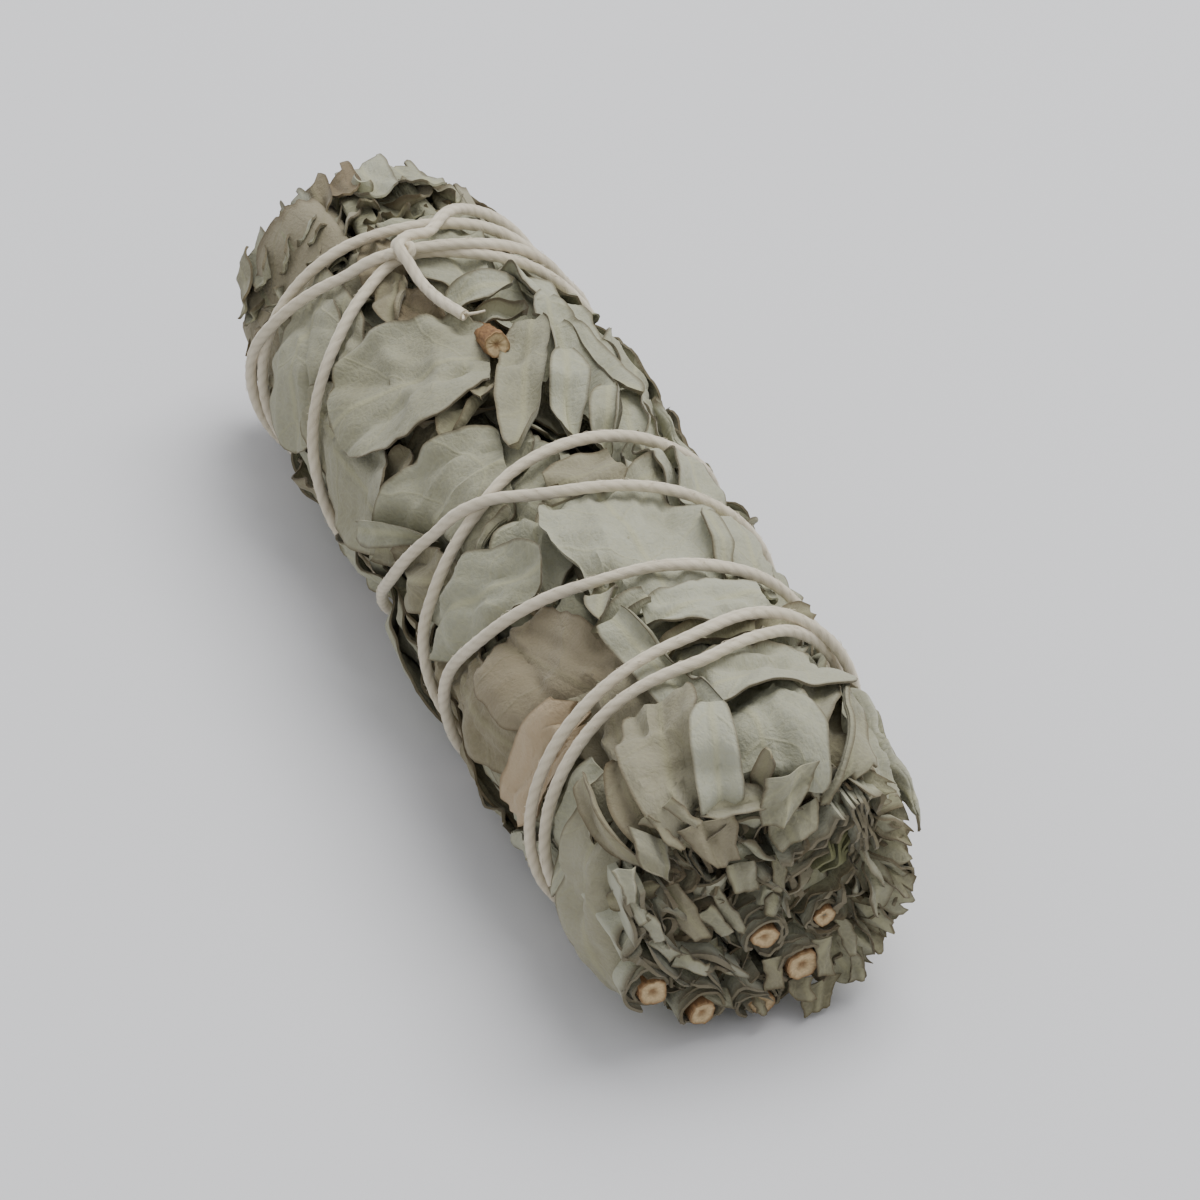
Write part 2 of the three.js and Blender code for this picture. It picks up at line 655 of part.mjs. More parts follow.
function tuftSolid() {
  const rnd = random(97);
  const base = [[-2.1, -3.5], [2.1, -3.5], [2.1, 3.5], [-2.1, 3.5]];
  const parts = [loft([tuftFrame(base, 45.5), tuftFrame(base, 53)])];
  [-1.6, -0.1, 1.4].forEach((y, k) => {
    const high = [];
    const low = [];
    for (let i = 0; i <= 4; i += 1) {
      const z = -3.2 + 1.6 * i;
      const side = (i % 2 ? 0.28 : -0.22) + y;
      const tip = 59.6 - k * 0.9 + (rnd() - 0.5) * 1.8 - Math.abs(i - 2) * 0.8;
      high.push([...tuftFrame([[side + 0.35, z]], 50), ...tuftFrame([[side + 0.35, z * 0.9]], tip)]);
      low.push([...tuftFrame([[side - 0.35, z]], 50), ...tuftFrame([[side - 0.35, z * 0.9]], tip)]);
    }
    parts.push(sheet(high, low));
  });
  return largest(union(parts));
}

const group = new THREE.Group();
group.name = 'sage_bunch';

function addNode(name, body, color, roughness) {
  const { vertProperties, triVerts, numProp } = body.getMesh();
  const pos = new Float32Array(triVerts.length * 3);
  triVerts.forEach((v, i) => {
    for (let k = 0; k < 3; k += 1) pos[i * 3 + k] = vertProperties[v * numProp + k];
  });
  const geometry = new THREE.BufferGeometry();
  geometry.setAttribute('position', new THREE.BufferAttribute(pos, 3));
  geometry.computeVertexNormals();
  const material = new THREE.MeshStandardMaterial({ color, roughness, metalness: 0 });
  material.name = name;
  const mesh = new THREE.Mesh(geometry, material);
  mesh.name = name;
  group.add(mesh);
}

const LEAF_TINTS = [0x9ba091, 0xa3a79a, 0x969b8a, 0x9da296, 0x92978a, 0xa0a192, 0x979a8c, 0x8f9485];
Object.keys(SPRIGS).forEach((name, k) => {
  addNode(`leaves_${name}`, sprigSolid(name, 101 + k), LEAF_TINTS[k], 0.9);
});
addNode('leaves_middle', middleSolid(), LEAF_TINTS[7], 0.9);
addNode('leaves_green', tuftSolid(), 0x7c8457, 0.85);
addNode('leaf_tan', leafSolid(TAN_LEAF), 0xa88d6e, 0.9);
for (const [name, stem] of Object.entries(STEMS)) addNode(name, stemSolid(stem), 0xa57f58, 0.8);
addNode('twig', rodSolid(TWIG.in, TWIG.cut, TWIG.r * 0.9, TWIG.r, 8), 0xa57f58, 0.8);
const wound = union([stringSolid(STRING_R, 0, true), knotSolid(1.7, 0)]);
addNode('string', largest(wound.simplify(0.03)), 0xd9d1bf, 0.95);

// The origin goes to the middle of the underside of the whole bunch.
const box = new THREE.Box3().setFromObject(group);
for (const mesh of group.children) {
  mesh.geometry.translate(-(box.min.x + box.max.x) / 2, -(box.min.y + box.max.y) / 2, 0);
}

export default group;
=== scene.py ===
"""Dried white-sage bunch wound with cotton string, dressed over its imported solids.

Leaves are thin closed sheets laid one over another on a relief of the bunch, the trimmed
ends are filled with their folded edges, and the string is a twisted yarn on the same route
as its solid. Sizes are in millimetres until a mesh is made; the frame is the solids' own.
"""
import logging
import math
from dataclasses import dataclass, field, replace
from enum import Enum
from functools import partial
from typing import Callable

import bpy
import numpy as np
from mathutils import Matrix, Vector


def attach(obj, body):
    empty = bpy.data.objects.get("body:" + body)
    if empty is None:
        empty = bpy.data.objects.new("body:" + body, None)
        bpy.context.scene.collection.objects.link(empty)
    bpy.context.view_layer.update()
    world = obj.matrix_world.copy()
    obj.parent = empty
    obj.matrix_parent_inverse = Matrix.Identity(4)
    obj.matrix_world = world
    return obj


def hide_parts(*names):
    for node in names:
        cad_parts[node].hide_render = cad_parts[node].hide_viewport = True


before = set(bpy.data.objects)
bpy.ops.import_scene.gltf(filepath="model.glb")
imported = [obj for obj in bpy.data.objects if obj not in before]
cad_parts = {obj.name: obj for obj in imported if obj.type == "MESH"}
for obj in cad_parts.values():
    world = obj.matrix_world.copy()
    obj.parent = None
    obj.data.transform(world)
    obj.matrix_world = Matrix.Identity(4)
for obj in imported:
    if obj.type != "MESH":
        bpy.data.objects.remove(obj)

Array = np.ndarray
Draws = np.random.RandomState     # a row of seeded draws
Point = tuple[float, float, float]

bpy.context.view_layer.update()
LOG = logging.getLogger("sage_bunch")

MM = 0.001
SHIFT = np.array([-0.0749, 0.2316, 0.0])  # the solids are centred on the origin by this much


class Slot(Enum):
    """Finish slots."""

    SAGE = "sage_leaf"
    GREEN = "green_leaf"
    TAN = "tan_leaf"
    STEM = "stem"
    STRING = "string"


class End(Enum):
    """The two trimmed ends of the bunch, by the sign of X."""

    NEAR = 1
    FAR = -1


def smooth(value: Array | float) -> Array:
    """Soft step from 0 to 1 as value goes from 0 to 1."""
    t = np.clip(value, 0.0, 1.0)
    return t * t * (3.0 - 2.0 * t)


def turned(angle: Array | float) -> Array:
    """Angle in degrees brought between -180 and 180."""
    return np.mod(np.asarray(angle, dtype=float) + 180.0, 360.0) - 180.0


def unit(vectors: Array) -> Array:
    """Vectors (n, k) brought to the length 1."""
    return vectors / np.maximum(1e-6, np.linalg.norm(vectors, axis=1))[:, None]


def run_length(points: Array) -> Array:
    """Length of a line through points, up to each of them."""
    return np.concatenate([[0.0], np.cumsum(np.linalg.norm(np.diff(points, axis=0), axis=1))])


def square_to(line: Array) -> Array:
    """Directions square to a flat line (n, 2) at each of its points."""
    along = np.gradient(line, axis=0)
    return unit(np.stack([along[:, 1], -along[:, 0]], -1))


def circles(first: Array, second: Array, sides: int) -> Array:
    """Circles of radius 1 in the planes of two rows of directions (n, 3)."""
    w = 2 * np.pi * np.arange(sides) / sides
    return np.cos(w)[None, :, None] * first[:, None] + np.sin(w)[None, :, None] * second[:, None]


def look_values(tint: float, warm: float, rim: Array) -> Array:
    """Look of a sheet: one tint, one warmth and the nearness of each point to the edge."""
    return np.stack([np.full(rim.shape, tint), np.full(rim.shape, warm), rim], -1)


def seeded_draws(seed: int) -> Callable[[], float]:
    """Draws that repeat the ones the solids were made with.

    Args:
        seed: whole number that starts the row of draws.

    Returns:
        A function that gives the next number from 0 to 1.
    """
    full = 0xFFFFFFFF
    state = [seed & full]

    def draw() -> float:
        """Next number of the row.

        Returns:
            A number from 0 to 1.
        """
        state[0] = (state[0] + 0x6D2B79F5) & full
        t = state[0]
        t = ((t ^ (t >> 15)) * (t | 1)) & full
        t ^= (t + (((t ^ (t >> 7)) * (t | 61)) & full)) & full
        return ((t ^ (t >> 14)) & full) / (full + 1)

    return draw


@dataclass(frozen=True)
class BunchForm:
    """Outer form that every leaf lies on, the same as the solids'."""

    radius: float = 19.0
    axis_z: float = 16.8
    face_x: float = 57.0
    rim: float = 5.0
    hub_y: float = -0.5
    hub_z: float = -4.0
    hub_r: float = 4.3

    @property
    def straight(self) -> float:
        """Half length of the side before the rim begins."""
        return self.face_x - self.rim

    def mm(self, degrees: Array | float) -> Array | float:
        """Length round the bunch of an angle in degrees."""
        return np.radians(degrees) * self.radius

    def degrees(self, length: Array | float) -> Array | float:
        """Angle in degrees of a length round the bunch."""
        return np.degrees(np.asarray(length) / self.radius)

    def section(self, x: Array | float) -> tuple[Array, Array]:
        """Middle and radius of the bunch at a place along it: it narrows to both ends.

        Args:
            x: place along the bunch.

        Returns:
            Distance of the middle from the axis, and the radius.
        """
        x = np.asarray(x, dtype=float)
        far = smooth((-20.0 - x) / 38.0)
        near = smooth((x - 36.0) / 24.0)
        middle = -1.2 * far - 1.1 * near
        return middle, self.radius - 1.5 * far - 1.1 * near + 0.25 * np.sin(x / 9.0)

    def bend(self, side: Array, f: Array) -> Array:
        """Share of a quarter turn by which outer leaves bend over the rim.

        Args:
            side: 1 at the near end, -1 at the far end.
            f: angle round the bunch in degrees, from the top towards +Y.

        Returns:
            A number from 0, straight on, to 1, flat over the trimmed end.
        """
        a = turned(f)
        near = 0.14 + 0.86 * smooth((a + 128.0) / 28.0) * smooth((52.0 - a) / 30.0)
        return np.where(side > 0, near, 0.3)

    def over_rim(self, s: Array, f: Array) -> tuple[Array, ...]:
        """How far places on the surface lie past the straight side.

        Args:
            s: surface distance from the middle of the bunch.
            f: angle round it in degrees.

        Returns:
            The side, the length past the straight part, the largest turn over the rim, the turn
            reached, and the length past that turn.
        """
        side = np.where(s < 0, -1.0, 1.0)
        over = np.maximum(0.0, np.abs(s) - self.straight)
        most = self.bend(side, f) * math.pi / 2
        return side, over, most, np.minimum(over / self.rim, most), np.maximum(0.0, over - most * self.rim)

    def place(self, s: Array, f: Array, h: Array) -> Array:
        """Point at surface distance s, angle f and height h, as an array (..., 3).

        Args:
            s: surface distance from the middle of the bunch.
            f: angle round it in degrees.
            h: height over its surface.

        Returns:
            The points in millimetres.
        """
        s, f, h = np.broadcast_arrays(np.asarray(s, float), np.asarray(f, float), np.asarray(h, float))
        side, over, most, turn, rest = self.over_rim(s, f)
        y, r = self.section(np.clip(s, -self.straight, self.straight))
        x = np.where(over > 0, side * (self.straight + self.rim * np.sin(turn) + rest * np.cos(most)), s)
        r = r - self.rim * (1.0 - np.cos(turn)) - rest * np.sin(most)
        r = np.maximum(0.4, r + h * np.cos(turn))
        a = np.radians(f)
        z = self.axis_z + r * np.cos(a)
        return np.stack([x + h * side * np.sin(turn), y + r * np.sin(a), self.pressed(z)], axis=-1)

    def girth(self, s: Array, f: Array) -> Array:
        """Radius round the bunch's axis at surface distance s, smaller over a trimmed end."""
        _, _, most, turn, rest = self.over_rim(s, f)
        return self.radius - self.rim * (1.0 - np.cos(turn)) - rest * np.sin(most)

    @staticmethod
    def pressed(z: Array) -> Array:
        """Height with the underside pressed towards the surface the bunch lies on."""
        z = np.where(z > 4.0, z, 4.0 - (4.0 - z) * 0.75)
        return np.where(z > 0.9, z, 0.9 * np.exp((np.minimum(z, 0.9) - 0.9) / 0.9))


FORM = BunchForm()

# Seams between the outer sprigs, as (x, angle) along the bunch.
SEAMS: dict[str, tuple[tuple[float, float], ...]] = {
    "upper": (
        (-70, -22), (-37, -20), (-31, -8), (-20, -7), (-13, -24), (0, -27),
        (15, -30), (29, -32), (44, -24), (58, -31), (70, -31),
    ),
    "left": ((-70, -100), (-45, -106), (-20, -102), (5, -107), (30, -102), (50, -106), (70, -104)),
    "under_left": ((-70, -131), (-30, -136), (10, -130), (40, -134), (70, -131)),
    "under_right": ((-70, -203), (-35, -197), (0, -203), (35, -198), (70, -201)),
    "right": ((-70, -240), (-30, -246), (10, -238), (45, -244), (70, -242)),
    "upper_right": ((-70, -290), (-35, -295), (5, -287), (35, -294), (70, -292)),
    "top": ((-70, 20), (-40, 26), (-10, 18), (20, 26), (50, 20), (70, 24)),
}

# Each outer sprig lies between two seams, in the order of the angle.
SPRIGS: dict[str, tuple[str, str]] = {
    "leaves_top": ("upper", "top"),
    "leaves_upper_right": ("top", "upper_right"),
    "leaves_right": ("upper_right", "right"),
    "leaves_under_right": ("right", "under_right"),
    "leaves_under": ("under_right", "under_left"),
    "leaves_under_left": ("under_left", "left"),
    "leaves_left": ("left", "upper"),
}


def seam_angle(name: str, x: Array | float) -> Array:
    """Angle of a seam at a place along the bunch.

    Args:
        name: the seam.
        x: place along the bunch.

    Returns:
        The angle in degrees.
    """
    line = np.array(SEAMS[name], dtype=float)
    x = np.asarray(x, dtype=float)
    k = np.clip(np.searchsorted(line[:, 0], x, side="right") - 1, 0, len(line) - 2)
    a, b = line[k], line[k + 1]
    t = (x - a[..., 0]) / (b[..., 0] - a[..., 0])
    return a[..., 1] + (b[..., 1] - a[..., 1]) * smooth(t)


def sprig_span(node: str, x: float) -> tuple[float, float]:
    """First and last angle of an outer sprig at x, the last one larger."""
    first, last = (float(seam_angle(name, x)) for name in SPRIGS[node])
    return first, first + (last - first) % 360.0


def sprig_at(s: float, f: float) -> str:
    """Name of the outer sprig that a place on the surface belongs to.

    Args:
        s: surface distance from the middle of the bunch.
        f: angle round it in degrees.

    Returns:
        The node.
    """
    for node in SPRIGS:
        first, last = sprig_span(node, max(-69.0, min(69.0, s)))
        if (f - first) % 360.0 < last - first:
            return node
    return "leaves_top"


# Meshes


def outward(points: Array, faces: list[Array]) -> list[Array]:
    """Faces of a closed body, turned so that they all look outwards.

    Args:
        points: its vertices (n, 3).
        faces: arrays of vertex numbers.

    Returns:
        The same faces, all turned round if they looked inwards.
    """
    volume = 0.0
    for part in faces:
        first = points[part[:, 0]]
        for k in range(1, part.shape[1] - 1):
            volume += float((first * np.cross(points[part[:, k]], points[part[:, k + 1]])).sum())
    return faces if volume > 0 else [part[:, ::-1] for part in faces]


class Shell:
    """Vertices, faces and surface values of one piece while it is being made."""

    def __init__(self) -> None:
        """Start empty."""
        self.points: list[Array] = []
        self.spots: list[Array] = []
        self.looks: list[Array] = []
        self.faces: list[Array] = []
        self.count = 0

    def add(self, points: Array, faces: list[Array], spot: Array, look: Array) -> None:
        """Add points with their faces.

        Args:
            points: array (n, 3) in millimetres, in the frame of the solids before centring.
            faces: arrays of vertex numbers, each with 3 or 4 columns.
            spot: array (n, 3), place on the leaf in millimetres and a number of its own.
            look: array (n, 3), tint, warmth and nearness to the edge.
        """
        n = len(points)
        self.points.append(points)
        self.spots.append(np.broadcast_to(spot, (n, 3)))
        self.looks.append(np.broadcast_to(look, (n, 3)))
        self.faces += [part + self.count for part in faces]
        self.count += n

    def add_sheet(self, top: Array, low: Array, spot: Array, look: Array) -> None:
        """Add a closed sheet between two equal grids (rows, columns, 3).

        Args:
            top: grid of one face.
            low: grid of the other.
            spot: values as for add, on the grid.
            look: the same.
        """
        rows, cols = top.shape[:2]
        half = rows * cols
        grid = np.arange(half).reshape(rows, cols)
        quads = np.stack([grid[:-1, :-1], grid[:-1, 1:], grid[1:, 1:], grid[1:, :-1]], -1).reshape(-1, 4)
        border = np.concatenate([grid[0, :-1], grid[:-1, -1], grid[-1, :0:-1], grid[:0:-1, 0]])
        after = np.roll(border, -1)
        walls = np.stack([border, border + half, after + half, after], -1)
        faces = [quads[:, ::-1], quads + half, walls[:, ::-1]]
        both = np.concatenate([top.reshape(-1, 3), low.reshape(-1, 3)])
        values = [np.concatenate([value.reshape(-1, 3)] * 2) for value in (spot, look)]
        self.add(both, outward(both, faces), *values)

    def add_loft(self, rings: Array, spot: Array, look: Array) -> None:
        """Add a closed tube through equal rings (k, n, 3), with a fan at each end.

        Args:
            rings: the rings.
            spot: values as for add, on the rings or one for all.
            look: the same.
        """
        k, n = rings.shape[:2]
        grid = np.arange(k * n).reshape(k, n)
        right = np.roll(grid, -1, axis=1)
        quads = np.stack([grid[:-1], right[:-1], right[1:], grid[1:]], -1).reshape(-1, 4)
        centres = np.array([k * n, k * n + 1])
        first = np.stack([right[0], grid[0], np.full(n, centres[0])], -1)
        last = np.stack([grid[-1], right[-1], np.full(n, centres[1])], -1)
        points = np.concatenate([rings.reshape(-1, 3), rings[0].mean(0)[None], rings[-1].mean(0)[None]])

        def spread(value: Array) -> Array:
            """Values for the ring points, with the mean of each end ring for its centre.

            Args:
                value: values on the rings, or one for all.

            Returns:
                Array (n, 3).
            """
            if np.ndim(value) < 3:
                return np.broadcast_to(value, (len(points), 3))
            return np.concatenate([value.reshape(-1, 3), value[0].mean(0)[None], value[-1].mean(0)[None]])

        self.add(points, outward(points, [quads, first, last]), spread(spot), spread(look))

    def to_object(self, name: str, material: bpy.types.Material, sharp: float = 50.0) -> bpy.types.Object:
        """Make the Blender object.

        Args:
            name: name of the piece.
            material: its finish.
            sharp: edges that turn by more than this many degrees stay crisp.

        Returns:
            The new object, linked to the scene.
        """
        points = (np.concatenate(self.points) + SHIFT) * MM
        mesh = bpy.data.meshes.new(name)
        mesh.vertices.add(len(points))
        mesh.vertices.foreach_set("co", points.astype(np.float32).ravel())
        sizes = np.concatenate([np.full(len(part), part.shape[1]) for part in self.faces])
        loops = np.concatenate([part.ravel() for part in self.faces])
        mesh.loops.add(len(loops))
        mesh.loops.foreach_set("vertex_index", loops.astype(np.int32))
        mesh.polygons.add(len(sizes))
        starts = np.concatenate([[0], np.cumsum(sizes)[:-1]])
        mesh.polygons.foreach_set("loop_start", starts.astype(np.int32))
        mesh.polygons.foreach_set("use_smooth", np.ones(len(sizes), dtype=bool))
        for key, parts in (("spot", self.spots), ("look", self.looks)):
            values = mesh.attributes.new(key, "FLOAT_VECTOR", "POINT")
            values.data.foreach_set("vector", np.concatenate(parts).astype(np.float32).ravel())
        mesh.update(calc_edges=True)
        mesh.set_sharp_from_angle(angle=math.radians(sharp))
        mesh.materials.append(material)
        piece = bpy.data.objects.new(name, mesh)
        bpy.context.scene.collection.objects.link(piece)
        return piece


Shells = dict[str, Shell]     # the pieces of the sprigs by node


def dress(piece: bpy.types.Object, slot: Slot, *nodes: str) -> bpy.types.Object:
    """Let a piece ride on the bunch and stand for its solids.

    Args:
        piece: the visible piece.
        slot: its finish slot; not used.
        nodes: the solids that it stands for.

    Returns:
        The same piece.
    """
    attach(piece, "root")
    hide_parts(*nodes)
    return piece


# Finishes


def linear(colour: str) -> tuple[float, float, float, float]:
    """Linear RGBA of an sRGB hex colour such as '#a0a090'."""
    parts = [int(colour[i:i + 2], 16) / 255 for i in (1, 3, 5)]
    return (*(c / 12.92 if c <= 0.04045 else ((c + 0.055) / 1.055) ** 2.4 for c in parts), 1.0)


def add_node(
    tree: bpy.types.NodeTree, kind: str, inputs: dict | None = None, **settings: object,
) -> bpy.types.Node:
    """Add a shader node.

    Args:
        tree: node tree of the material or world.
        kind: type of the node, without its prefix.
        inputs: socket name or number to a value, or to the socket or node that feeds it.
        settings: properties of the node.

    Returns:
        The new node.
    """
    node = tree.nodes.new("ShaderNode" + kind)
    for key, value in settings.items():
        setattr(node, key, value)
    for key, value in (inputs or {}).items():
        if isinstance(value, bpy.types.Node):
            value = value.outputs[0]
        if isinstance(value, bpy.types.NodeSocket):
            tree.links.new(value, node.inputs[key])
        else:
            node.inputs[key].default_value = value
    return node


def new_material(name: str) -> tuple[bpy.types.Material, Callable[..., bpy.types.Node]]:
    """Make an empty node material.

    Args:
        name: what the real material is.

    Returns:
        The material, and add_node for its own tree.
    """
    material = bpy.data.materials.new(name)
    material.use_nodes = True
    material.node_tree.nodes.clear()
    return material, partial(add_node, material.node_tree)


@dataclass(frozen=True)
class FeltedLeaf:
    """Dried sage leaf: a thin leaf under a felt of fine hairs.

    The felt makes it pale and wholly matte, with a soft glow at grazing angles; the veins
    and the net between them show through as faint lines and a fine relief.
    """

    name: str
    pale: str
    deep: str
    warm: str
    vein: str
    # colour of the darker edge, partly browned margin and partly painted shade; also the veins of warm leaves
    rim: str
    vein_share: float = 0.5
    net_share: float = 0.4
    side_vein_mm: float = 4.2      # spacing of the side veins along the middle vein
    net_mm: float = 0.9            # mesh width of the vein net; drawn as coarse as the picture needs
    mottle_mm: float = 7.0         # patches of paler and deeper felt
    hair_mm: float = 0.4           # tufts of hairs; single hairs are too fine to show
    relief_mm: float = 0.22
    roughness: float = 0.88

    def build(self) -> bpy.types.Material:
        """Node material of the leaf.

        Returns:
            The material.
        """
        material, add = new_material(self.name)
        spot, look = (add("Attribute", attribute_name=name).outputs["Vector"] for name in ("spot", "look"))
        place = add("SeparateXYZ", {0: spot})
        tone = add("SeparateXYZ", {0: look})
        across = add("Math", {0: place.outputs[1]}, operation="ABSOLUTE")
        # middle vein, about 0.7 mm wide
        middle = add(
            "MapRange", {"Value": across, "From Min": 0.15, "From Max": 0.6, "To Min": 1.0, "To Max": 0.0},
        )
        # side veins leave it at about 50 degrees
        swept = add("Math", {0: across, 1: -0.85}, operation="MULTIPLY")
        along = add("Math", {0: place, 1: swept}, operation="ADD")
        wander = add("TexNoise", {"Vector": spot, "Scale": 0.22, "Detail": 1.0})
        bent = add("Math", {0: wander, 1: 5.0, 2: along}, operation="MULTIPLY_ADD")
        phase = add("Math", {0: bent, 1: 1.0 / self.side_vein_mm}, operation="MULTIPLY")
        saw = add("Math", {0: phase, 1: 1.0}, operation="PINGPONG")
        side = add(
            "MapRange", {"Value": saw, "From Min": 0.0, "From Max": 0.1, "To Min": 0.75, "To Max": 0.0},
        )
        veins = add("Math", {0: middle, 1: side}, operation="MAXIMUM")
        net = add("TexVoronoi", {"Vector": spot, "Scale": 1.0 / self.net_mm}, feature="DISTANCE_TO_EDGE")
        mesh = add("MapRange", {"Value": net, "From Min": 0.0, "From Max": 0.2, "To Min": 1.0, "To Max": 0.0})
        mottle = add(
            "TexNoise", {"Vector": spot, "Scale": 1.0 / self.mottle_mm, "Detail": 4.0, "Roughness": 0.62},
        )
        fine = add("TexNoise", {"Vector": spot, "Scale": 1.0 / self.hair_mm, "Detail": 3.0, "Roughness": 0.7})
        speck = add("Math", {0: fine, 1: 0.5, 2: tone}, operation="MULTIPLY_ADD")
        shade = add("Math", {0: mottle, 1: 0.9, 2: speck}, operation="MULTIPLY_ADD")
        felt = add(
            "MapRange", {"Value": shade, "From Min": 0.7, "From Max": 1.7, "To Min": 0.0, "To Max": 1.0},
        )
        ground = add(
            "Mix", {"Factor": felt, "A": linear(self.deep), "B": linear(self.pale)}, data_type="RGBA",
        )
        aged = add(
            "Mix",
            {"Factor": tone.outputs[1], "A": ground.outputs["Result"], "B": linear(self.warm)},
            data_type="RGBA",
        )
        faint = add("Math", {0: mesh, 1: self.net_share}, operation="MULTIPLY")
        lines = add("Math", {0: veins, 1: faint}, operation="MAXIMUM")
        drawn = add("Math", {0: lines, 1: self.vein_share}, operation="MULTIPLY")
        ink = add(
            "Mix",
            {"Factor": tone.outputs[1], "A": linear(self.vein), "B": linear(self.rim)},
            data_type="RGBA",
        )
        lined = add(
            "Mix",
            {"Factor": drawn, "A": aged.outputs["Result"], "B": ink.outputs["Result"]},
            data_type="RGBA",
        )
        # darker rim along each edge: partly the leaf's own browned margin, partly painted shade of the gap
        # under the edge
        edge = add(
            "MapRange",
            {"Value": tone.outputs[2], "From Min": 0.55, "From Max": 1.0, "To Min": 0.0, "To Max": 0.75},
        )
        rim_brown_and_shade = add(
            "Mix", {"Factor": edge, "A": lined.outputs["Result"], "B": linear(self.rim)}, data_type="RGBA",
        )
        relief = add("Math", {0: mesh, 1: -0.2, 2: fine}, operation="MULTIPLY_ADD")
        raised = add("Math", {0: veins, 1: 0.6, 2: relief}, operation="MULTIPLY_ADD")
        bump = add("Bump", {"Height": raised, "Strength": 0.7, "Distance": self.relief_mm * MM})
        shader = add(
            "BsdfPrincipled",
            {
                "Base Color": rim_brown_and_shade.outputs["Result"], "Roughness": self.roughness,
                "Specular IOR Level": 0.2, "Sheen Weight": 0.12, "Sheen Roughness": 0.5,
                "Normal": bump,
            },
        )
        add("OutputMaterial", {"Surface": shader})
        return material


@dataclass(frozen=True)
class StemWood:
    """Dried woody stem: thin brown bark, straw-coloured wood where it was cut.

    The look value is the tint, the share of bare cut wood and the nearness to the pith.
    """

    name: str = "dried_sage_stem"
    bark: str = "#9a7650"
    bark_deep: str = "#6d5036"
    wood: str = "#d0b88f"
    pith: str = "#8a6742"
    fibre_mm: float = 0.35

    def build(self) -> bpy.types.Material:
        """Node material of the stems.

        Returns:
            The material.
        """
        material, add = new_material(self.name)
        spot, look = (add("Attribute", attribute_name=name).outputs["Vector"] for name in ("spot", "look"))
        tone = add("SeparateXYZ", {0: look})
        stretch = add("Mapping", {"Vector": spot, "Scale": (0.25, 1.0, 1.0)})
        fibres = add(
            "TexNoise", {"Vector": stretch, "Scale": 1.0 / self.fibre_mm, "Detail": 3.0, "Roughness": 0.6},
        )
        spread = add("MapRange", {"Value": fibres, "From Min": 0.3, "From Max": 0.7})
        bark = add(
            "Mix", {"Factor": spread, "A": linear(self.bark_deep), "B": linear(self.bark)}, data_type="RGBA",
        )
        core = add(
            "Mix",
            {"Factor": tone.outputs[2], "A": linear(self.wood), "B": linear(self.pith)},
            data_type="RGBA",
        )
        grained = add(
            "Mix", {"Factor": spread, "A": linear("#d8d8d8"), "B": linear("#ffffff")}, data_type="RGBA",
        )
        cut = add(
            "Mix",
            {"Factor": 1.0, "A": core.outputs["Result"], "B": grained.outputs["Result"]},
            data_type="RGBA", blend_type="MULTIPLY",
        )
        both = add(
            "Mix",
            {"Factor": tone.outputs[1], "A": bark.outputs["Result"], "B": cut.outputs["Result"]},
            data_type="RGBA",
        )
        bump = add("Bump", {"Height": fibres, "Strength": 0.6, "Distance": 0.15 * MM})
        shader = add(
            "BsdfPrincipled",
            {
                "Base Color": both.outputs["Result"], "Roughness": 0.78, "Specular IOR Level": 0.3,
                "Normal": bump,
            },
        )
        add("OutputMaterial", {"Surface": shader})
        return material


@dataclass(frozen=True)
class CottonYarn:
    """Undyed cotton string, three plies twisted: soft, off-white, matte with a slight fuzz."""

    name: str = "undyed_cotton_string"
    pale: str = "#dfd5bf"
    # colour of the painted shade in the ply grooves, and of the dirty patches
    groove: str = "#a99e86"
    fibre_mm: float = 0.22  # bundles of fibres along the ply

    def build(self) -> bpy.types.Material:
        """Node material of the string; the look value's third number is the nearness to a ply groove, where
        shade is painted darker.

        Returns:
            The material.
        """
        material, add = new_material(self.name)
        spot, look = (add("Attribute", attribute_name=name).outputs["Vector"] for name in ("spot", "look"))
        tone = add("SeparateXYZ", {0: look})
        stretch = add("Mapping", {"Vector": spot, "Scale": (0.2, 1.0, 1.0)})
        fibres = add("TexNoise", {"Vector": stretch, "Scale": 1.0 / self.fibre_mm, "Detail": 2.0})
        dirt = add("TexNoise", {"Vector": spot, "Scale": 0.12, "Detail": 2.0})
        worn = add(
            "MapRange", {"Value": dirt, "From Min": 0.3, "From Max": 0.75, "To Min": 0.0, "To Max": 0.35},
        )
        # painted shade: the ply grooves are drawn darker, on top of the darker patches of dirt
        dark = add("Math", {0: tone.outputs[2], 1: 0.4, 2: worn}, operation="MULTIPLY_ADD")
        colour = add(
            "Mix", {"Factor": dark, "A": linear(self.pale), "B": linear(self.groove)}, data_type="RGBA",
        )
        bump = add("Bump", {"Height": fibres, "Strength": 0.55, "Distance": 0.1 * MM})
        shader = add(
            "BsdfPrincipled",
            {
                "Base Color": colour.outputs["Result"], "Roughness": 0.92, "Specular IOR Level": 0.15,
                "Sheen Weight": 0.3, "Sheen Roughness": 0.5, "Normal": bump,
            },
        )
        add("OutputMaterial", {"Surface": shader})
        return material


@dataclass(frozen=True)
class PaleCard:
    """Sheet of pale matte card that the bunch lies on."""

    name: str = "pale_matte_card"
    colour: str = "#dedee0"

    def build(self) -> bpy.types.Material:
        """Node material of the floor.

        Returns:
            The material.
        """
        material, add = new_material(self.name)
        shader = add(
            "BsdfPrincipled",
            {"Base Color": linear(self.colour), "Roughness": 0.85, "Specular IOR Level": 0.15},
        )
        add("OutputMaterial", {"Surface": shader})
        return material


